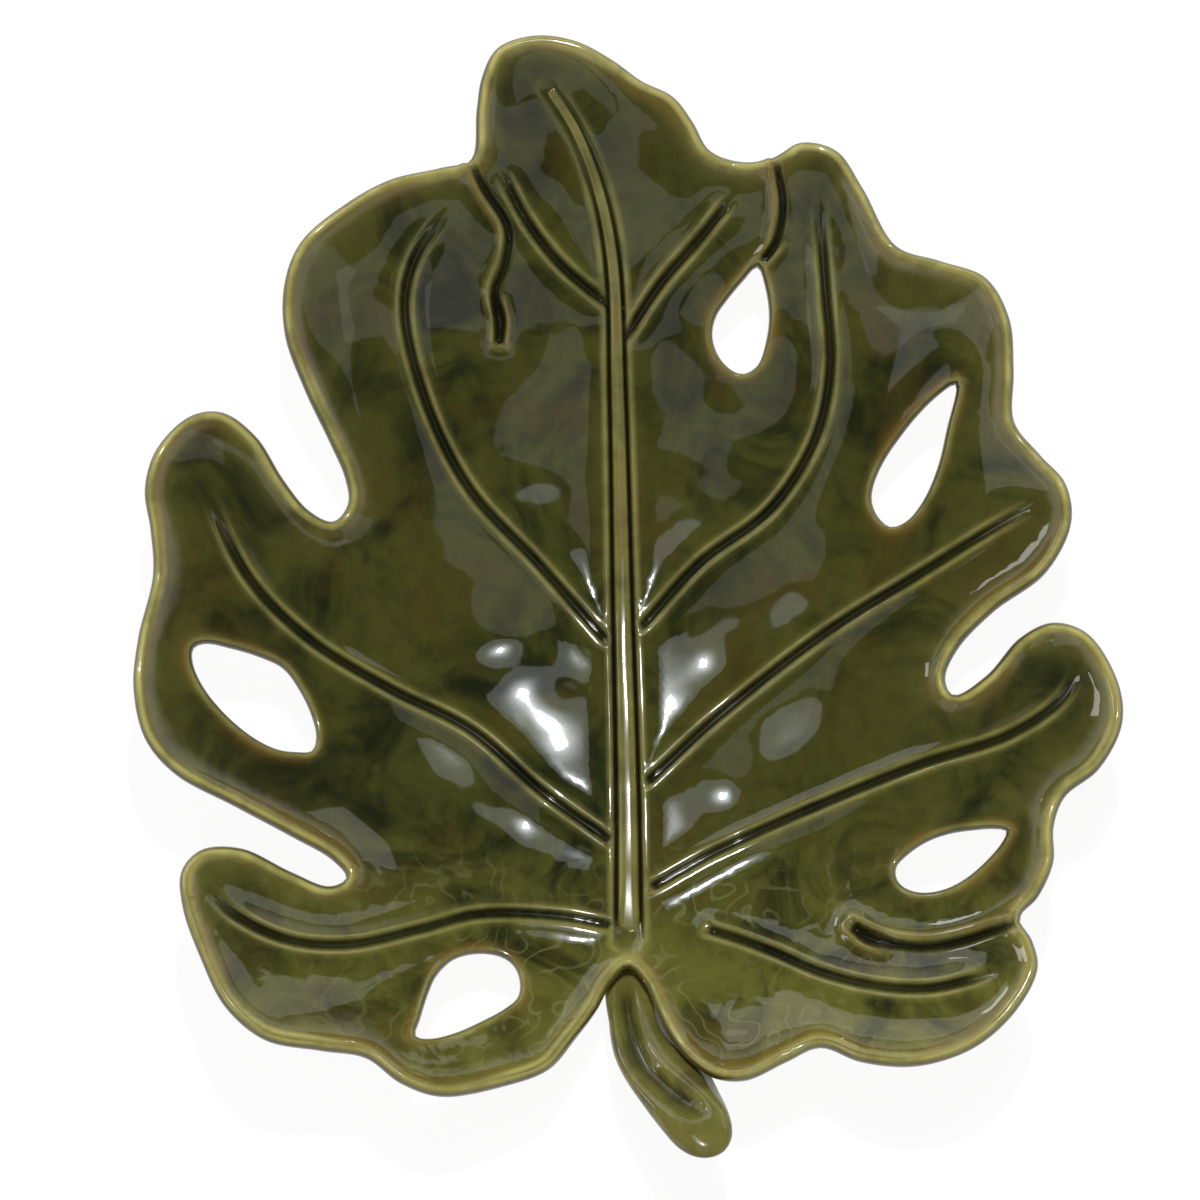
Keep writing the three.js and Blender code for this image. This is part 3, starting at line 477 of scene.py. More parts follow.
def curve_through(knots, closed):
    """Points of a smooth centripetal curve through plan knots, in millimetres."""
    across, along = np.array(knots, float).T / 100
    points = np.column_stack([PLAN_X + across * BLADE_WIDTH, PLAN_Y + along * BLADE_LENGTH])
    if closed:
        before, start, end, beyond = (np.roll(points, shift, axis=0) for shift in (1, 0, -1, -2))
    else:
        run = np.vstack([2 * points[0] - points[1], points, 2 * points[-1] - points[-2]])
        before, start, end, beyond = run[:-3], run[1:-2], run[2:-1], run[3:]
    pairs = ((before, start), (start, end), (end, beyond))
    gap_in, gap, gap_out = (np.sqrt(np.linalg.norm(b - a, axis=1))[:, None] for a, b in pairs)
    pull_start = gap * ((start - before) / gap_in - (end - before) / (gap_in + gap) + (end - start) / gap)
    pull_end = gap * ((end - start) / gap - (beyond - start) / (gap + gap_out) + (beyond - end) / gap_out)
    t = np.linspace(0, 1, CURVE_STEPS + 1)[:-1, None, None]
    curve = (
        (2 * t**3 - 3 * t**2 + 1) * start + (t**3 - 2 * t**2 + t) * pull_start
        + (3 * t**2 - 2 * t**3) * end + (t**3 - t**2) * pull_end
    )
    curve = curve.transpose(1, 0, 2).reshape(-1, 2)
    return np.vstack([curve, curve[:1] if closed else points[-1:]])


def spaced(curve, step):
    """Even steps along a curve, both ends included."""
    reach = np.concatenate([[0], np.cumsum(np.linalg.norm(np.diff(curve, axis=0), axis=1))])
    count = max(LEAST_STEPS, round(reach[-1] / step))
    places = np.linspace(0, reach[-1], count + 1)
    return np.column_stack([np.interp(places, reach, curve[:, axis]) for axis in (0, 1)])


def headings(line, closed):
    """Unit directions of travel along a run of points."""
    if closed:
        run = np.roll(line, -1, axis=0) - np.roll(line, 1, axis=0)
    else:
        run = np.gradient(line, axis=0)
    return run / np.linalg.norm(run, axis=1)[:, None]


def between(rows, shares):
    """Plan rows read off at shares of the way along them."""
    places = np.linspace(0, 1, len(rows))
    return np.column_stack([np.interp(shares, places, rows[:, axis]) for axis in (0, 1)])


def beside(point, run, across):
    """Plan places across a line at one of its points, to the right of travel."""
    return point[0] + run[1] * across, point[1] - run[0] * across


def at_station(stations, share):
    """Value between stations at a share of the way along."""
    return np.interp(share, *zip(*stations))


def smoothstep(value, low, high):
    """Share from 0 to 1 as a value goes from low to high, easing at both ends."""
    t = np.clip((value - low) / (high - low), 0, 1)
    return t * t * (3 - 2 * t)


def bump(offset, width):
    """Bell that is 1 at no offset and about a third one width away."""
    return np.exp(-((offset / width) ** 2))


def band(gap, share, setback, width):
    """Soft band that runs along an edge at a setback."""
    return share * bump(gap - setback, width)


def nearest(line, x, y):
    """Distance from places to a line, share of its length there, and side (1 is right of travel)."""
    start, run = line[:-1], np.diff(line, axis=0)
    square = (run**2).sum(axis=1)
    results = []
    for first in range(0, len(x), BATCH):
        off_x = x[first:first + BATCH, None] - start[:, 0]
        off_y = y[first:first + BATCH, None] - start[:, 1]
        t = np.clip((off_x * run[:, 0] + off_y * run[:, 1]) / square, 0, 1)
        off_x = off_x - run[:, 0] * t
        off_y = off_y - run[:, 1] * t
        distance = np.hypot(off_x, off_y)
        best = distance.argmin(axis=1)
        rows = np.arange(len(best))
        turn = run[best, 1] * off_x[rows, best] - run[best, 0] * off_y[rows, best]
        side = np.where(turn >= 0, 1.0, -1.0)
        results.append((distance[rows, best], (best + t[rows, best]) / len(start), side))
    return (np.concatenate(column) for column in zip(*results))


EDGE_LINES = [spaced(curve_through(knots, True), EDGE_STEP)[:-1] for knots in [OUTLINE] + HOLES]
VEIN_LINES = [spaced(curve_through(knots, False), VEIN_STEP) for knots in VEINS]
SLIT_LINES = [spaced(curve_through(knots, False), VEIN_STEP) for knots in SLITS]
MIDRIB_LINE = spaced(curve_through(MIDRIB, False), VEIN_STEP)
STALK_LINE = spaced(curve_through(STALK, False), VEIN_STEP)


def tree_of(lines):
    """Search tree over finely stepped edge lines."""
    places = np.vstack([spaced(np.vstack([line, line[:1]]), EDGE_STEP / TREE_FINENESS) for line in lines])
    tree = kdtree.KDTree(len(places))
    for i, (x, y) in enumerate(places):
        tree.insert((x, y, 0), i)
    tree.balance()
    return tree


RIM_TREE = tree_of(EDGE_LINES[:1])
HOLE_TREE = tree_of(EDGE_LINES[1:])


def distance_to(tree, x, y):
    """Distance from places to the edges in a search tree."""
    return np.array([tree.find((px, py, 0))[2] for px, py in zip(x, y)])


# Form of the bowl

def dish_height(x, y):
    """Upper face of the plain dish."""
    reach = np.hypot((x - DISH_X) / (DISH_REACH * BLADE_WIDTH), (y - DISH_Y) / (DISH_REACH * BLADE_LENGTH))
    rise = (1 - np.cos(DISH_CURL * reach**DISH_FLATNESS)) / (1 - math.cos(DISH_CURL))
    return BELLY_CLEARANCE + WALL + BOWL_DEPTH * rise


def hull_height(x, y):
    """Plain hull: the dish with every lobe guttered along its vein."""
    gutter = np.zeros_like(x)
    for line in VEIN_LINES:
        distance, along, _ = nearest(line, x, y)
        fall = smoothstep(along, GUTTER_START, GUTTER_FULL) * bump(distance, GUTTER_WIDTH)
        gutter = np.maximum(gutter, fall)
    return dish_height(x, y) - GUTTER_DEPTH * gutter


def sheet_height(x, y):
    """Upper face of the hull with every panel between veins sunk a little."""
    edge_gap = np.minimum(distance_to(RIM_TREE, x, y), distance_to(HOLE_TREE, x, y))
    panel = smoothstep(edge_gap, 0, PANEL_SETBACK)
    for line in [MIDRIB_LINE] + VEIN_LINES:
        distance, _, _ = nearest(line, x, y)
        panel = panel * (1 - bump(distance, PANEL_REACH))
    return hull_height(x, y) - PANEL_SINK * panel


def hand_wave(x, y):
    """Slow unevenness left by pressing the sheet by hand: crossed waves and a few thumbed hollows."""
    height = np.zeros_like(x)
    for turn in range(WAVE_COUNT):
        heading = turn * GOLDEN_ANGLE
        phase = turn * turn
        pitch = WAVE_PITCH * (1 + WAVE_SPREAD * math.sin(phase))
        travel = (x * math.cos(heading) + y * math.sin(heading)) / pitch
        height += WAVE_HEIGHT * np.sin(2 * math.pi * travel + phase)
    for across, along, length, width, heading, depth in HOLLOWS:
        off_x = x - PLAN_X - across / 100 * BLADE_WIDTH
        off_y = y - PLAN_Y - along / 100 * BLADE_LENGTH
        run_x, run_y = math.cos(math.radians(heading)), math.sin(math.radians(heading))
        lengthwise = off_x * run_x + off_y * run_y
        crosswise = off_y * run_x - off_x * run_y
        height -= depth * bump(lengthwise, length) * bump(crosswise, width)
    return height


def midrib_half_width(along):
    """Half the midrib's width at a share of the way to its tip."""
    return (MIDRIB_ROOT_WIDTH + (MIDRIB_TIP_WIDTH - MIDRIB_ROOT_WIDTH) * along) / 2


def lip_shape(offset):
    """Lip beside a groove: steep toward the groove, easy toward the panel."""
    return np.where(offset < 0, bump(offset, VEIN_LIP_INNER), bump(offset, VEIN_LIP_OUTER))


def fused(first, second):
    """Two lips run together without a crease where they meet."""
    return (first**LIP_FUSING + second**LIP_FUSING) ** (1 / LIP_FUSING)


def vein_marks(x, y):
    """Lips, grooves, lip crests and pooled glaze of the side veins, each from 0 to 1."""
    lip, groove, crest, pool = (np.zeros_like(x) for _ in range(4))
    for line in VEIN_LINES:
        distance, along, _ = nearest(line, x, y)
        fade = 1 - smoothstep(along, VEIN_FADE_START, 1)
        lip_place = distance - VEIN_LIP_OFFSET
        lip = fused(lip, fade * lip_shape(lip_place))
        groove = np.maximum(groove, fade * bump(distance, VEIN_GROOVE_WIDTH))
        crest = np.maximum(crest, fade * bump(lip_place - VEIN_CREST_SETBACK, VEIN_CREST_WIDTH))
        pool = np.maximum(pool, fade * bump(distance, VEIN_POOL_WIDTH))
    return lip, groove, crest, pool


def channel_marks(x, y):
    """Bed, lips, lip crests and pooled glaze of the midrib's channel, each from 0 to 1."""
    distance, along, _ = nearest(MIDRIB_LINE, x, y)
    bed_edge = midrib_half_width(along) + CHANNEL_SIDE_PLAY
    tip_fade = 1 - CHANNEL_TIP_FADE * smoothstep(along, CHANNEL_TIP_START, 1)
    root_run = headings(MIDRIB_LINE, False)[0]
    past_root = (x - MIDRIB_LINE[0, 0]) * root_run[0] + (y - MIDRIB_LINE[0, 1]) * root_run[1]
    bed = (1 - smoothstep(distance, bed_edge, bed_edge + CHANNEL_SLOPE)) * tip_fade
    bed = bed * smoothstep(past_root, *CHANNEL_ROOT_RAMP)
    lip_place = distance - bed_edge - CHANNEL_SLOPE - CHANNEL_LIP_SETBACK
    lip = lip_shape(lip_place) * tip_fade
    crest = bump(lip_place, CHANNEL_CREST_WIDTH) * tip_fade
    pool = bump(distance - bed_edge - CHANNEL_POOL_SETBACK, CHANNEL_POOL_WIDTH) * tip_fade
    return bed, lip, crest, pool * smoothstep(past_root, *CHANNEL_POOL_RAMP)


def slit_marks(x, y):
    """Relief of the slits in millimetres, with their pooled glaze and bead crests from 0 to 1."""
    relief, pool, crest = (np.zeros_like(x) for _ in range(3))
    for line, (bead_height, bead_width, pocket_width) in zip(SLIT_LINES, SLIT_BEADS):
        distance, along, side = nearest(line, x, y)
        pocket = smoothstep(along, SLIT_POCKET_START, SLIT_POCKET_START + SLIT_POCKET_RAMP)
        point = 1 - SLIT_POINT_TAPER * smoothstep(along, SLIT_POINT_START, 1)
        over = np.where(side > 0, 1, pocket)
        cut_width = SLIT_GROOVE_WIDTH + (pocket_width - SLIT_GROOVE_WIDTH) * pocket * point
        cut = bump(distance, cut_width)
        cut_depth = SLIT_DEPTH * (1 + SLIT_POCKET_DEEPER * pocket)
        bead_span = bead_width * (1 - SLIT_POCKET_PINCH * pocket)
        bead_place = distance - cut_width - bead_span
        relief += bead_height * over * bump(bead_place, bead_span) - cut_depth * cut
        pool = np.maximum(pool, cut)
        crest = np.maximum(crest, over * bump(bead_place, SLIT_CREST_SHARE * bead_span))
    return relief, pool, crest


def rim_thinness(x, y, rim_gap):
    """How thin the glaze runs along the rim: a narrow wandering crest over a soft fall-off."""
    toward_base = smoothstep(PLAN_Y - y, *RIM_CREST_RAMP)
    wander = RIM_WANDER * np.sin(x / RIM_WANDER_ACROSS) * np.sin(y / RIM_WANDER_ALONG + RIM_WANDER_PHASE)
    crest_place = rim_gap - RIM_ROUND - RIM_CREST_SETBACK - RIM_CREST_DRIFT * toward_base - wander
    crest = RIM_CREST_THIN * bump(crest_place, RIM_CREST_WIDTH)
    return crest + sum(band(rim_gap, *soft_band) for soft_band in RIM_THIN_BANDS)


def dressed_face(x, y):
    """Height of the upper face with all its relief, and the glaze layers on it."""
    lip, groove, crest, vein_pool = vein_marks(x, y)
    channel, channel_lip, channel_crest, channel_pool = channel_marks(x, y)
    slit_relief, slit_pool, slit_crest = slit_marks(x, y)
    lip = fused(lip, channel_lip)
    crest = np.maximum(crest, channel_crest)
    rim_gap = distance_to(RIM_TREE, x, y)
    hole_gap = distance_to(HOLE_TREE, x, y)

    bead = RIM_BEAD_HEIGHT * bump(rim_gap - RIM_ROUND, RIM_BEAD_WIDTH)
    raised = np.maximum(VEIN_LIP_HEIGHT * lip, bead) * (1 - groove) * (1 - channel)
    sunk = VEIN_DEPTH * groove * (1 - channel) + CHANNEL_DEPTH * channel
    uneven = hand_wave(x, y) * smoothstep(np.minimum(rim_gap, hole_gap), *WAVE_EDGE_RAMP)
    height = sheet_height(x, y) + raised - sunk + slit_relief + uneven

    masks = {
        "thin": np.maximum.reduce([
            VEIN_THIN * crest * (1 - groove), SLIT_THIN * slit_crest * (1 - slit_pool),
            rim_thinness(x, y, rim_gap), band(hole_gap, *HOLE_THIN_BAND),
        ]),
        "pool": np.maximum.reduce([VEIN_POOL * vein_pool, channel_pool, slit_pool]),
        "amber": np.maximum.reduce([
            band(hole_gap, *HOLE_AMBER_BAND), SLIT_AMBER * slit_crest, band(rim_gap, *RIM_AMBER_BAND),
        ]),
        # Near the stalk: fine ripples in the glaze, and pale strands of painted reflection
        "ripple_and_painted_sheen": bump(x - MIDRIB_LINE[0, 0], RIPPLE_AND_SHEEN_REACH) * smoothstep(PLAN_Y - y, *RIPPLE_AND_SHEEN_RAMP) * (1 - lip),
    }
    return height, masks


# Meshes

def is_inside(loop, x, y):
    """Whether places lie inside a closed plan loop."""
    inside = np.zeros(len(x), bool)
    for start, end in zip(np.roll(loop, 1, axis=0), loop):
        crosses = (start[1] > y) != (end[1] > y)
        rise = end[1] - start[1] if end[1] != start[1] else 1
        inside ^= crosses & (x < start[0] + (end[0] - start[0]) * (y - start[1]) / rise)
    return inside


def inward_normals(line, is_hole):
    """Plan directions pointing into the clay at each point of an edge."""
    run = headings(line, True)
    area = np.sum(line[:, 0] * np.roll(line[:, 1], -1) - np.roll(line[:, 0], -1) * line[:, 1])
    turning = 1 if (area > 0) != is_hole else -1
    return np.column_stack([-run[:, 1], run[:, 0]]) * turning


EDGE_NORMALS = [inward_normals(line, k > 0) for k, line in enumerate(EDGE_LINES)]
EDGE_ROUNDS = [RIM_ROUND] + [HOLE_ROUND] * len(HOLES)
INNER_LOOPS = [line + normals * edge for line, normals, edge in zip(EDGE_LINES, EDGE_NORMALS, EDGE_ROUNDS)]


def rows_along(line, offsets_at):
    """Rows of points following a line at set offsets to both sides."""
    run = headings(line, False)
    right = np.column_stack([run[:, 1], -run[:, 0]])
    offsets = np.array([offsets_at(along) for along in np.linspace(0, 1, len(line))])
    return (line[:, None] + right[:, None] * offsets[:, :, None]).reshape(-1, 2)


def line_offsets(along):
    """Rows of points beside a vein or slit, the same all along it."""
    return [0] + [sign * offset for offset in LINE_ROWS for sign in (1, -1)]


def channel_offsets(along):
    """Rows of points across the midrib's channel and its slopes."""
    edge = midrib_half_width(along) + CHANNEL_SIDE_PLAY
    rows = [edge * share for share in CHANNEL_ROWS] + [edge + CHANNEL_SLOPE * share for share in SLOPE_ROWS]
    return [sign * offset for offset in rows for sign in (1, -1)]


class Scatter:
    """Plan points kept apart from each other, inside the rim."""

    def __init__(self, cell):
        self.cell = cell
        self.points = []
        self.cells = {}

    def around(self, column, row):
        """Points in a cell and the cells next to it."""
        for next_column in (column - 1, column, column + 1):
            for next_row in (row - 1, row, row + 1):
                yield from self.cells.get((next_column, next_row), ())

    def add(self, candidates, spacing, edge_play):
        """Take the candidates that keep clear of the edges and of the points already taken."""
        x, y = candidates[:, 0], candidates[:, 1]
        inside = is_inside(INNER_LOOPS[0], x, y)
        for loop in INNER_LOOPS[1:]:
            inside &= ~is_inside(loop, x, y)
        inside &= distance_to(RIM_TREE, x, y) > RIM_ROUND + edge_play
        inside &= distance_to(HOLE_TREE, x, y) > HOLE_ROUND + edge_play
        for point in candidates[inside]:
            column, row = int(point[0] // self.cell), int(point[1] // self.cell)
            close = self.around(column, row)
            if all(math.hypot(near[0] - point[0], near[1] - point[1]) > spacing for near in close):
                self.points.append(point)
                self.cells.setdefault((column, row), []).append(point)


def even_fill(step):
    """Staggered rows of points over the whole blade."""
    row_height = step * math.sqrt(3) / 2
    half_rows = math.ceil(BLADE_LENGTH / row_height / 2)
    half_columns = math.ceil(BLADE_WIDTH / step / 2)
    columns = np.arange(-half_columns, half_columns + 1)
    rows = np.arange(-half_rows, half_rows + 1)
    column, row = np.meshgrid(columns, rows)
    return np.column_stack([
        (PLAN_X + (column + (row % 2) / 2) * step).ravel(), (PLAN_Y + row * row_height).ravel(),
    ])


def filled_sheet(scatter):
    """Triangles between the inner rim loops over scattered points: plan points and corner triples."""
    points = np.vstack(INNER_LOOPS + [np.array(scatter.points)])
    edges = []
    first = 0
    for loop in INNER_LOOPS:
        edges += [(first + i, first + (i + 1) % len(loop)) for i in range(len(loop))]
        first += len(loop)
    keep_inside = 1
    _, _, faces, origins, _, _ = geometry.delaunay_2d_cdt(
        [Vector(point) for point in points], edges, [], keep_inside, MERGE
    )
    places = [ids[0] if ids else None for ids in origins]
    assert None not in places, "the rim loops cross"
    corners = np.array([[places[corner] for corner in face] for face in faces])
    middles = points[corners].mean(axis=1)
    clay = np.ones(len(corners), bool)
    for loop in INNER_LOOPS[1:]:
        clay &= ~is_inside(loop, middles[:, 0], middles[:, 1])
    return points, corners[clay]


def glaze_layers(bm):
    """Named glaze layers on the points of a mesh, all bare at first."""
    return {name: bm.verts.layers.float.new(name) for name in GLAZE_LAYERS}


def paint(vert, layers, **masks):
    """Set glaze layers at one point."""
    for name, mask in masks.items():
        vert[layers[name]] = float(mask)


def piece_from(bm, name, material, node):
    """Finished mesh as an object that stands for its solid."""
    mesh = bpy.data.meshes.new(name)
    bm.to_mesh(mesh)
    bm.free()
    for polygon in mesh.polygons:
        polygon.use_smooth = True
    mesh.materials.append(material)
    piece = bpy.data.objects.new(name, mesh)
    bpy.context.collection.objects.link(piece)
    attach(piece, "root")
    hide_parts(node)
    return piece


def drawn_ring(bm, ring, edges):
    """Next ring drawn out of a ring's edges: its points, numbered like their sources, and its edges."""
    grown = bmesh.ops.extrude_edge_only(bm, edges=edges)["geom"]
    next_edges = [item for item in grown if isinstance(item, bmesh.types.BMEdge)]
    next_ring = {}
    for vert in (item for item in grown if isinstance(item, bmesh.types.BMVert)):
        source = next(edge.other_vert(vert) for edge in vert.link_edges if edge.other_vert(vert) in ring)
        next_ring[vert] = ring[source]
    return next_ring, next_edges


def laid_sheet(bm, points, height, faces):
    """Points of a sheet laid at its heights, with its faces filled in."""
    verts = [bm.verts.new((x * MM, y * MM, z * MM)) for (x, y), z in zip(points, height)]
    for face in faces:
        bm.faces.new([verts[corner] for corner in face])
    return verts


def upper_sheet(bm, layers):
    """Dressed upper face, with rows of points along every groove and edge."""
    scatter = Scatter(FILL_STEP)
    scatter.add(rows_along(MIDRIB_LINE, channel_offsets), CHANNEL_SPACING, LINE_EDGE_PLAY)
    for line in SLIT_LINES + VEIN_LINES:
        scatter.add(rows_along(line, line_offsets), LINE_SPACING, LINE_EDGE_PLAY)
    for line, normals, edge_round in zip(EDGE_LINES, EDGE_NORMALS, EDGE_ROUNDS):
        for setback in RIM_ROWS:
            scatter.add(line + normals * (edge_round + setback), RIM_ROW_SPACING, RIM_ROW_PLAY)
    scatter.add(even_fill(FILL_STEP), FILL_STEP * FILL_SPACING, FILL_EDGE_PLAY)
    points, faces = filled_sheet(scatter)
    height, masks = dressed_face(points[:, 0], points[:, 1])
    verts = laid_sheet(bm, points, height, faces)
    for i, vert in enumerate(verts):
        paint(vert, layers, **{name: mask[i] for name, mask in masks.items()})
    return verts


def lower_sheet(bm, layers):
    """Plain satin underside, one wall below the hull."""
    scatter = Scatter(UNDER_STEP)
    scatter.add(even_fill(UNDER_STEP), UNDER_STEP * FILL_SPACING, UNDER_EDGE_PLAY)
    points, faces = filled_sheet(scatter)
    height = hull_height(points[:, 0], points[:, 1]) - WALL
    facing_down = faces[:, ::-1]
    verts = laid_sheet(bm, points, height, facing_down)
    for vert in verts:
        paint(vert, layers, thin=UNDER_THIN, satin=1)
    return verts


def roll_masks(upness, is_hole):
    """Glaze layers on the roll of an edge, by how far the surface there faces up: pale on the upward face as
    thin glaze and partly painted light, dark on a hole roll's downward face as painted shade.
    """
    # Pale glaze only where the roll faces up is partly painted light
    thin = smoothstep(upness, *ROLL_LIT_THIN_RAMP)
    # Dark on a hole roll's downward face is painted shade
    pool = HOLE_ROLL_SHADE * (1 - smoothstep(upness, *HOLE_ROLL_SHADE_RAMP))
    return {
        "thin": HOLE_ROLL_LIT_THIN * thin if is_hole else thin,
        "pool": pool if is_hole else 0,
        "amber": band(upness, *ROLL_AMBER_BAND),
        "ripple_and_painted_sheen": 0,
        "satin": 1 - smoothstep(upness, *ROLL_SATIN_RAMP),
    }


def rolled_edges(bm, layers, upper, lower):
    """Rim and hole edges, drawn out of the upper sheet and round to the underside."""
    first = 0
    for line, normals, edge_round in zip(EDGE_LINES, EDGE_NORMALS, EDGE_ROUNDS):
        count = len(line)
        above = upper[first:first + count]
        below = lower[first:first + count]
        ring = {vert: i for i, vert in enumerate(above)}
        edges = [bm.edges.get((above[i], above[(i + 1) % count])) for i in range(count)]
        for step in range(1, RIM_STEPS + 1):
            angle = math.pi / 2 - math.pi * step / RIM_STEPS
            upness = math.sin(angle)
            masks = roll_masks(upness, first > 0)
            ring, edges = drawn_ring(bm, ring, edges)
            for vert, i in ring.items():
                place = line[i] + normals[i] * edge_round * (1 - math.cos(angle))
                middle = (above[i].co.z + below[i].co.z) / 2
                half = (above[i].co.z - below[i].co.z) / 2
                vert.co = (place[0] * MM, place[1] * MM, middle + half * upness)
                paint(vert, layers, **masks)
        first += count


def leaf_blade(material):
    """Glazed blade: dressed upper sheet, rolled rim and plain underside."""
    bm = bmesh.new()
    layers = glaze_layers(bm)
    upper = upper_sheet(bm, layers)
    lower = lower_sheet(bm, layers)
    rolled_edges(bm, layers, upper, lower)
    bmesh.ops.remove_doubles(bm, verts=bm.verts, dist=WELD * MM)
    return piece_from(bm, "glazed_blade", material, "leaf_blade")


def drawn_out(bm, sections):
    """Skin through a run of equal closed sections, drawn out of the first one and capped at both ends."""
    start = [bm.verts.new(place) for place in sections[0]]
    edges = list(bm.faces.new(start).edges)
    ring = {vert: i for i, vert in enumerate(start)}
    rings = [start]
    for section in sections[1:]:
        ring, edges = drawn_ring(bm, ring, edges)
        for vert, i in ring.items():
            vert.co = section[i]
        rings.append(sorted(ring, key=ring.get))
    bm.faces.new(rings[-1])
    bmesh.ops.recalc_face_normals(bm, faces=bm.faces)
    return rings


def midrib(material):
    """Glazed strip with two soft ridges, seated in its channel and sunk into the sheet at its root."""
    bm = bmesh.new()
    layers = glaze_layers(bm)
    length = VEIN_STEP * (len(MIDRIB_LINE) - 1)
    ends = CHANNEL_END_PLAY / length
    along = np.linspace(ends, 1 - ends, len(MIDRIB_LINE) + 1)
    centre = between(MIDRIB_LINE, along)
    heading = between(headings(MIDRIB_LINE, False), along)
    turn = np.linspace(0, math.pi, MIDRIB_SECTION_POINTS)
    cos, sin = np.cos(turn), np.sin(turn)
    base = -CHANNEL_DEPTH - MIDRIB_BEDDING
    sections = []
    levels = []
    for point, run, share in zip(centre, heading, along):
        rooted = (1 + MIDRIB_ROOT_SINK) * smoothstep(share * length, *MIDRIB_ROOT_RAMP) - MIDRIB_ROOT_SINK
        crown = MIDRIB_CROWN * (1 - MIDRIB_CROWN_TAPER * share) * rooted
        across = midrib_half_width(share) * cos * (1 - MIDRIB_WAIST + MIDRIB_WAIST * np.abs(cos))
        dip = MIDRIB_DIP * (1 - MIDRIB_DIP_TAPER * share) * bump(cos, MIDRIB_DIP_WIDTH)
        rise = base + (crown - base) * sin**MIDRIB_SHOULDER - dip
        x, y = beside(point, run, across)
        z = sheet_height(x, y) + hand_wave(x, y) + rise
        sections.append(np.column_stack([x, y, z]) * MM)
        levels.append(np.clip((rise - base) / (crown - base), 0, 1))
    ridges = band(np.abs(cos), *MIDRIB_RIDGE_THIN_BAND)
    amber = band(cos, *MIDRIB_AMBER_BAND)
    for ring, ring_levels in zip(drawn_out(bm, sections), levels):
        thin = MIDRIB_THIN * smoothstep(ring_levels, *MIDRIB_THIN_RAMP) + ridges
        pool = 1 - smoothstep(ring_levels, *MIDRIB_POOL_RAMP)
        for i, vert in enumerate(ring):
            paint(vert, layers, thin=thin[i], pool=pool[i], amber=amber[i])
    return piece_from(bm, "glazed_midrib", material, "midrib")


def stalk(material):
    """Glazed stalk: a gutter between a fat ridge and a thin one that meet round its knob end."""
    bm = bmesh.new()
    layers = glaze_layers(bm)
    knob_length = 1 - STALK_KNOB_START
    body_shares = np.linspace(0, STALK_KNOB_START, STALK_BODY_RINGS)
    knob_shares = 1 - knob_length * (1 - np.linspace(0, 1, STALK_KNOB_RINGS + 1)[1:]) ** 2
    along = np.concatenate([body_shares, knob_shares])
    centre = between(STALK_LINE, along)
    heading = between(headings(STALK_LINE, False), along)
    turn = np.linspace(0, 2 * math.pi, STALK_SECTION_POINTS + 1)[:-1]
    cos, sin = np.cos(turn), np.sin(turn)
    upper = smoothstep(sin, *STALK_UPPER_RAMP)
    seat = -WALL - STALK_SEAT_PLAY
    sections = []
    dips = []
    for point, run, share in zip(centre, heading, along):
        knob = max(0, (share - STALK_KNOB_START) / knob_length)
        end = math.sqrt(max(STALK_KNOB_LEAST**2, 1 - knob**2))
        half = STALK_NECK_WIDTH * at_station(STALK_WIDTHS, share) / 2 * end
        top = seat + at_station(STALK_RISES, share) * end
        bottom = seat - STALK_TONGUE * at_station(STALK_BODIES, share) * end
        spot = np.sign(cos) * np.abs(cos) ** STALK_SIDE_POWER
        tuck = STALK_TUCK * at_station(STALK_TUCKS, share) * bump(sin - STALK_TUCK_PLACE, STALK_TUCK_WIDTH)
        across = half * spot - np.where(cos < 0, tuck, 0)
        off_gutter = spot - at_station(STALK_GUTTERS, share)
        wall = np.where(off_gutter > 0, STALK_EASY_WALL, STALK_STEEP_WALL)
        dip = at_station(STALK_TROUGHS, share) * bump(off_gutter, wall)
        ridges = bump(off_gutter - STALK_RIDGE_PLACE, STALK_RIDGE_WIDTH)
        ridges = ridges + STALK_THIN_RIDGE * bump(off_gutter + STALK_RIDGE_PLACE, STALK_THIN_RIDGE_WIDTH)
        relief = STALK_RIDGE * at_station(STALK_RIDGES, share) * ridges - STALK_TROUGH_DEPTH * dip
        rise = (top + bottom) / 2 + (top - bottom) / 2 * np.sign(sin) * np.abs(sin) ** STALK_TOP_POWER
        x, y = beside(point, run, across)
        z = hull_height(x, y) + rise + upper * relief
        sections.append(np.column_stack([x, y, z]) * MM)
        dips.append(dip)
    for ring, dip in zip(drawn_out(bm, sections), dips):
        thin = STALK_THIN + STALK_UPPER_THIN * upper * (1 - dip)
        # The gutter's dark is pooled glaze and also painted shade under the blade's notch and lobe
        pool = STALK_POOL_AND_SHADE * smoothstep(dip, *STALK_POOL_AND_SHADE_RAMP) * upper
        for i, vert in enumerate(ring):
            paint(vert, layers, thin=thin[i], pool=pool[i], amber=STALK_AMBER)
    return piece_from(bm, "glazed_stalk", material, "stalk")


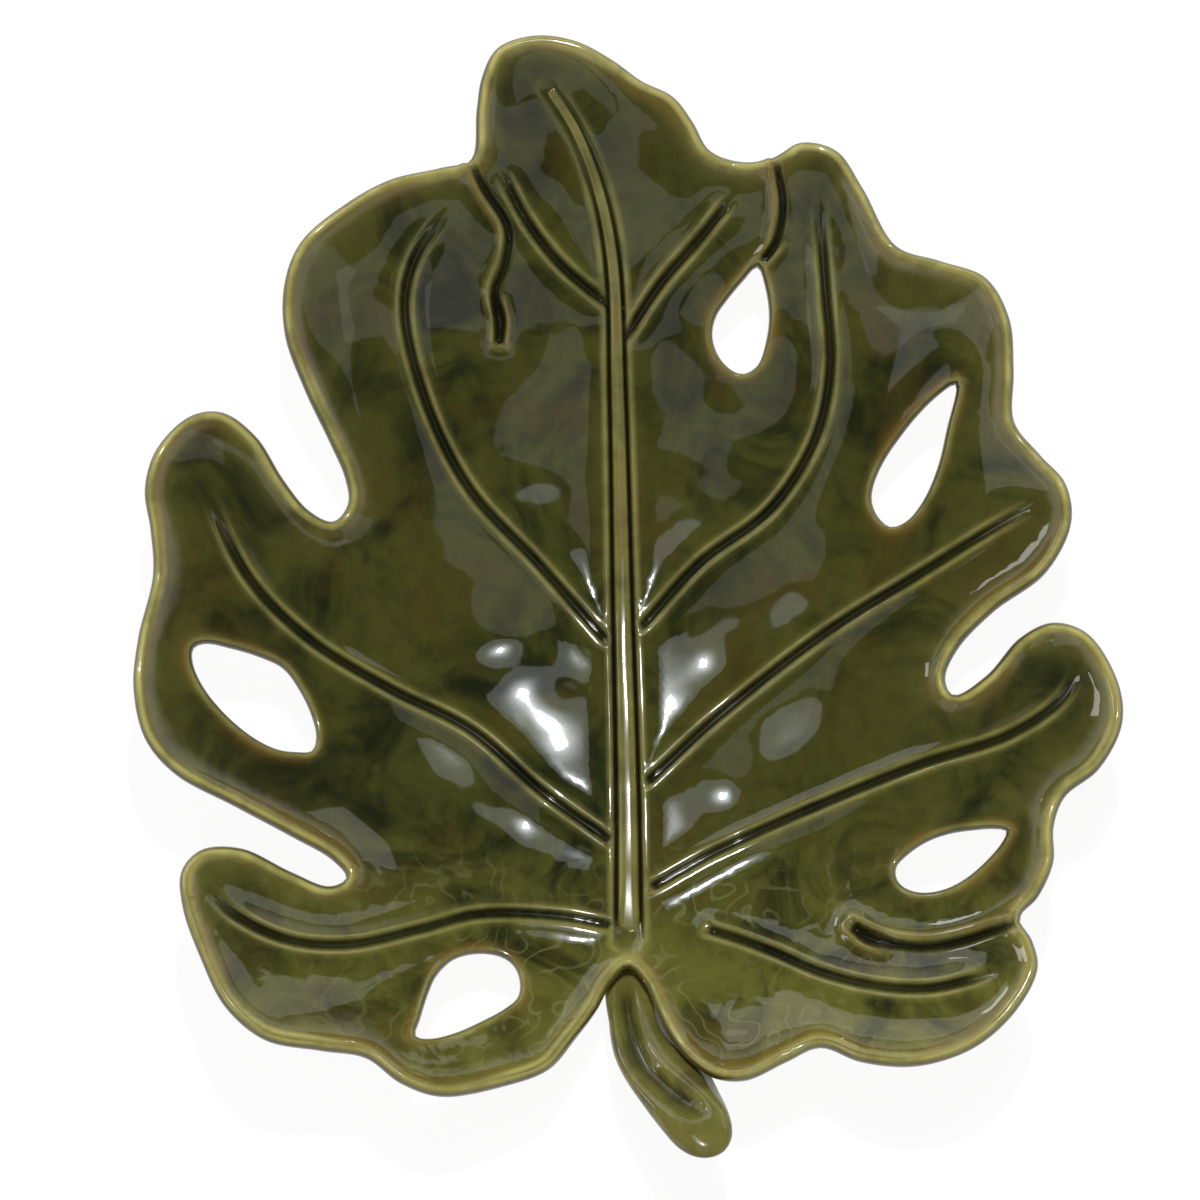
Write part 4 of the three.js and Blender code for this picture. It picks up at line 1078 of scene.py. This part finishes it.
def foot_ring(material):
    """Bare clay ring, turned about the bowl's axis, its top let into the belly."""
    bm = bmesh.new()
    outer = FOOT_DIAMETER / 2
    inner = outer - FOOT_WALL
    reach = np.array([outer + FOOT_FLARE, inner - FOOT_FLARE])
    top_outer, top_inner = hull_height(DISH_X + reach, np.full(2, DISH_Y)) - WALL + FOOT_LET_IN
    profile = [
        (outer - FOOT_CHAMFER, 0), (outer, FOOT_CHAMFER), (outer + FOOT_FLARE, top_outer),
        (inner - FOOT_FLARE, top_inner), (inner, FOOT_CHAMFER), (inner + FOOT_CHAMFER, 0),
    ]
    verts = [bm.verts.new(((DISH_X + radius) * MM, DISH_Y * MM, z * MM)) for radius, z in profile]
    edges = [bm.edges.new((verts[i], verts[(i + 1) % len(verts)])) for i in range(len(verts))]
    bmesh.ops.spin(
        bm, geom=verts + edges, cent=(DISH_X * MM, DISH_Y * MM, 0), axis=(0, 0, 1), angle=2 * math.pi,
        steps=FOOT_SEGMENTS, use_merge=True,
    )
    bmesh.ops.remove_doubles(bm, verts=bm.verts, dist=WELD * MM)
    bmesh.ops.recalc_face_normals(bm, faces=bm.faces)
    piece = piece_from(bm, "bare_foot_ring", material, "foot_ring")
    for polygon in piece.data.polygons:
        polygon.use_smooth = False
    return piece


# Finishes

def plug(tree, socket, value):
    """Wire a socket to another, or set it to a plain value."""
    if isinstance(value, bpy.types.NodeSocket):
        tree.links.new(value, socket)
    else:
        socket.default_value = value


def linked(tree, node_type, **inputs):
    """New node with its inputs set or wired by name."""
    node = tree.nodes.new(node_type)
    for name, value in inputs.items():
        plug(tree, node.inputs[name.replace("_", " ")], value)
    return node


def noise(tree, place, pattern):
    """Value of a noise pattern over the piece."""
    return linked(tree, "ShaderNodeTexNoise", Vector=place, **pattern).outputs["Fac"]


def mixed(tree, share, first, second):
    """Colour going from first to second by a share."""
    node = tree.nodes.new("ShaderNodeMix")
    node.data_type = "RGBA"
    colours = [socket for socket in node.inputs if socket.type == "RGBA"]
    for socket, value in zip([node.inputs["Factor"]] + colours, (share, first, second)):
        plug(tree, socket, value)
    return next(socket for socket in node.outputs if socket.type == "RGBA")


def ranged(tree, value, low, high, to_low, to_high):
    """Value moved smoothly from one range to another."""
    node = linked(
        tree, "ShaderNodeMapRange", Value=value, From_Min=low, From_Max=high, To_Min=to_low, To_Max=to_high
    )
    node.interpolation_type = "SMOOTHSTEP"
    return node.outputs["Result"]


def combined(tree, operation, first, second):
    """Two values multiplied, added or the like, kept from 0 to 1."""
    node = tree.nodes.new("ShaderNodeMath")
    node.operation = operation
    node.use_clamp = True
    for socket, value in zip(node.inputs, (first, second)):
        plug(tree, socket, value)
    return node.outputs["Value"]


def layer_value(tree, layer):
    """Value of one of the piece's own glaze layers."""
    reader = tree.nodes.new("ShaderNodeAttribute")
    reader.attribute_name = layer
    return reader.outputs["Fac"]


def material_with_place(name):
    """New material: itself, its nodes, its shader and the piece's own coordinates."""
    material = bpy.data.materials.new(name)
    material.use_nodes = True
    tree = material.node_tree
    place = tree.nodes.new("ShaderNodeTexCoord").outputs["Object"]
    return material, tree, tree.nodes["Principled BSDF"], place


def glaze_group():
    """Shared glaze colour: clouded olive with a painted sheen toward the lower right lobes, thin and pale on
    edges, near black where it pools and in painted shade, with pale strands of painted reflection.
    """
    tree = bpy.data.node_groups.new("stoneware glaze", "ShaderNodeTree")
    tree.interface.new_socket("Place", in_out="INPUT", socket_type="NodeSocketVector")
    for name in ("Thin", "Pool and shade", "Stain", "Ripple and painted sheen"):
        tree.interface.new_socket(name, in_out="INPUT", socket_type="NodeSocketFloat")
    tree.interface.new_socket("Colour", in_out="OUTPUT", socket_type="NodeSocketColor")
    tree.interface.new_socket("Ripple", in_out="OUTPUT", socket_type="NodeSocketFloat")
    entry = tree.nodes.new("NodeGroupInput").outputs
    leave = tree.nodes.new("NodeGroupOutput").inputs
    place = entry["Place"]

    plan = linked(tree, "ShaderNodeSeparateXYZ", Vector=place).outputs
    patch = noise(tree, place, PATCH)
    flow = linked(tree, "ShaderNodeTexWave", Vector=place, **FLOW).outputs["Fac"]

    # Painted sheen: paler toward the lower right lobes
    painted_sheen = combined(
        tree, "MULTIPLY", ranged(tree, plan["Y"], *PAINTED_SHEEN_ALONG), ranged(tree, plan["X"], *PAINTED_SHEEN_ACROSS)
    )
    base = mixed(tree, painted_sheen, OLIVE, PAINTED_SHEEN_OLIVE)
    colour = mixed(tree, ranged(tree, noise(tree, place, CLOUD), *CLOUD_SHARE), DEEP_GREEN, base)
    colour = mixed(tree, ranged(tree, plan["Y"], *DEEP_ALONG), colour, DEEP_GREEN)
    colour = mixed(tree, ranged(tree, patch, *BROWN_SHARE), colour, BROWN)
    colour = mixed(tree, ranged(tree, noise(tree, place, FLECK), *FLECK_SHARE), colour, DEEP_GREEN)
    broken = ranged(tree, noise(tree, place, BREAK), *BREAK_SHARE)
    colour = mixed(tree, combined(tree, "MULTIPLY", entry["Thin"], broken), colour, BROKEN_OLIVE)
    stained = ranged(tree, patch, *STAIN_SHARE)
    colour = mixed(tree, combined(tree, "MULTIPLY", entry["Stain"], stained), colour, AMBER)
    # Pale strands near the stalk, painted reflections of the glaze ripples there
    sheen_strand = combined(tree, "MULTIPLY", entry["Ripple and painted sheen"], ranged(tree, flow, *SHEEN_STRAND_SHARE))
    sheen_strand = combined(tree, "MULTIPLY", sheen_strand, ranged(tree, patch, *SHEEN_STRAND_BREAK_SHARE))
    colour = mixed(tree, sheen_strand, colour, PAINTED_SHEEN_STRAND)
    # Near black where the glaze pools, also laid as painted shade on the holes' rolls and in the stalk's
    # gutter
    tree.links.new(mixed(tree, entry["Pool and shade"], colour, POOLED_AND_SHADED), leave["Colour"])

    runs = combined(tree, "MULTIPLY", flow, combined(tree, "MULTIPLY", entry["Ripple and painted sheen"], FLOW_RIPPLE))
    sag = combined(tree, "MULTIPLY", noise(tree, place, SAG), ranged(tree, entry["Ripple and painted sheen"], *SAG_SHARE))
    tree.links.new(combined(tree, "ADD", runs, sag), leave["Ripple"])
    return tree


def glaze(name, group, ripple_depth):
    """Glossy glaze over clay, read from the piece's own layers, and satin where its satin layer says so."""
    material, tree, shader, place = material_with_place(name)
    coat = tree.nodes.new("ShaderNodeGroup")
    coat.node_tree = group
    tree.links.new(place, coat.inputs["Place"])
    for layer, socket in (("thin", "Thin"), ("pool", "Pool and shade"), ("amber", "Stain"), ("ripple_and_painted_sheen", "Ripple and painted sheen")):
        tree.links.new(layer_value(tree, layer), coat.inputs[socket])
    tree.links.new(coat.outputs["Colour"], shader.inputs["Base Color"])
    ripple = coat.outputs["Ripple"]
    relief = linked(tree, "ShaderNodeBump", Height=ripple, Strength=1.0, Distance=ripple_depth)
    tree.links.new(relief.outputs["Normal"], shader.inputs["Normal"])
    roughness = ranged(tree, layer_value(tree, "satin"), *GLAZE_ROUGHNESS)
    tree.links.new(roughness, shader.inputs["Roughness"])
    shader.inputs["IOR"].default_value = GLAZE_IOR
    return material


def bare_clay():
    """Dry buff stoneware with fine dark specks."""
    material, tree, shader, place = material_with_place("bare clay")
    grain = noise(tree, place, CLAY_GRAIN)
    colour = mixed(tree, ranged(tree, noise(tree, place, CLAY_TONE), *TONE_SHARE), PALE_CLAY, DARK_CLAY)
    colour = mixed(tree, ranged(tree, grain, *SPECK_SHARE), colour, CLAY_SPECK)
    tree.links.new(colour, shader.inputs["Base Color"])
    relief = linked(
        tree, "ShaderNodeBump", Height=grain, Strength=CLAY_GRAIN_STRENGTH, Distance=CLAY_GRAIN_DEPTH
    )
    tree.links.new(relief.outputs["Normal"], shader.inputs["Normal"])
    shader.inputs["Roughness"].default_value = CLAY_ROUGHNESS
    return material


# Stage

def camera():
    """Camera at the photograph's angle and framing."""
    data = bpy.data.cameras.new("photo camera")
    data.sensor_width = SENSOR
    data.lens = SENSOR * CAMERA_DISTANCE / (FRAME_SIDE / PHOTO_SCALE)
    data.clip_start = CLIP_NEAR
    data.clip_end = CLIP_FAR
    back = Vector((0, -math.cos(CAMERA_ELEVATION), math.sin(CAMERA_ELEVATION)))
    eye = bpy.data.objects.new("photo camera", data)
    eye.location = (Vector(CAMERA_TARGET) + back * CAMERA_DISTANCE) * MM
    eye.rotation_mode = "QUATERNION"
    eye.rotation_quaternion = (-back).to_track_quat("-Z", "Y")
    bpy.context.collection.objects.link(eye)
    bpy.context.scene.camera = eye


def lamp(name, shape, place, size, radiance):
    """Flat lamp at a place in metres, facing the bowl, with an even glow."""
    data = bpy.data.lights.new(name, "AREA")
    data.shape = shape
    data.size, data.size_y = size
    area = size[0] * size[1] * (math.pi / 4 if shape == "ELLIPSE" else 1)
    data.energy = radiance * math.pi * area
    body = bpy.data.objects.new(name, data)
    body.location = place
    body.rotation_mode = "QUATERNION"
    body.rotation_quaternion = Vector(place).to_track_quat("Z", "Y")
    body.visible_camera = False
    bpy.context.collection.objects.link(body)
    return data


def softbox():
    """Bulb in a round lamp whose glow falls off smoothly from its middle to a dim edge."""
    lamp("softbox_bulb", "RECTANGLE", *BULB)
    data = lamp("softbox", "ELLIPSE", SOFTBOX_PLACE, SOFTBOX_SIZE, SOFTBOX_RADIANCE)
    data.color = SOFTBOX_TINT
    data.use_nodes = True
    tree = data.node_tree
    # A lamp's own coordinates run from 0 to 1 across it
    half = 0.5
    reach = tree.nodes.new("ShaderNodeVectorMath")
    reach.operation = "DISTANCE"
    tree.links.new(tree.nodes.new("ShaderNodeNewGeometry").outputs["Parametric"], reach.inputs[0])
    reach.inputs[1].default_value = (half, half, 0)
    glow = ranged(tree, reach.outputs["Value"], 0.0, half, 1.0, 0.0)
    glow = combined(tree, "POWER", glow, SOFTBOX_FALL)
    glow = combined(tree, "MULTIPLY", glow, 1 - SOFTBOX_EDGE)
    glow = combined(tree, "ADD", glow, SOFTBOX_EDGE)
    tree.links.new(glow, tree.nodes["Emission"].inputs["Strength"])


def floor():
    """Plain pale floor paper."""
    bm = bmesh.new()
    bmesh.ops.create_grid(bm, x_segments=1, y_segments=1, size=FLOOR_HALF)
    mesh = bpy.data.meshes.new("floor")
    bm.to_mesh(mesh)
    bm.free()
    sheet = bpy.data.objects.new("floor", mesh)
    bpy.context.collection.objects.link(sheet)
    paper = bpy.data.materials.new("floor paper")
    paper.use_nodes = True
    tree = paper.node_tree
    shader = tree.nodes["Principled BSDF"]
    shader.inputs["Base Color"].default_value = FLOOR_COLOUR
    shader.inputs["Roughness"].default_value = FLOOR_ROUGHNESS
    path = tree.nodes.new("ShaderNodeLightPath").outputs
    seen = combined(tree, "MAXIMUM", path["Is Camera Ray"], path["Is Glossy Ray"])
    seen = combined(tree, "MAXIMUM", seen, path["Is Transmission Ray"])
    glow = linked(tree, "ShaderNodeEmission", Color=WHITE, Strength=FLOOR_GLOW)
    blend = tree.nodes.new("ShaderNodeMixShader")
    tree.links.new(combined(tree, "MULTIPLY", seen, FLOOR_GLOW_SHARE), blend.inputs["Fac"])
    tree.links.new(shader.outputs["BSDF"], blend.inputs[1])
    tree.links.new(glow.outputs["Emission"], blend.inputs[2])
    tree.links.new(blend.outputs["Shader"], tree.nodes["Material Output"].inputs["Surface"])
    mesh.materials.append(paper)


def room():
    """White walls that glow low down and are dim overhead."""
    world = bpy.data.worlds.new("studio")
    world.use_nodes = True
    tree = world.node_tree
    heading = tree.nodes.new("ShaderNodeTexCoord").outputs["Generated"]
    height = linked(tree, "ShaderNodeSeparateXYZ", Vector=heading).outputs["Z"]
    background = tree.nodes["Background"].inputs
    tree.links.new(ranged(tree, height, *ROOM_GLOW), background["Strength"])
    background["Color"].default_value = WHITE
    bpy.context.scene.world = world


shared_glaze = glaze_group()
green_glaze = glaze("green glaze", shared_glaze, GREEN_RIPPLE)
broken_glaze = glaze("broken glaze", shared_glaze, BROKEN_RIPPLE)
leaf_blade(green_glaze)
midrib(broken_glaze)
stalk(broken_glaze)
foot_ring(bare_clay())
camera()
floor()
room()
softbox()
for name, card in CARDS.items():
    lamp(name, "RECTANGLE", *card)
bpy.context.scene.view_settings.view_transform = "Standard"
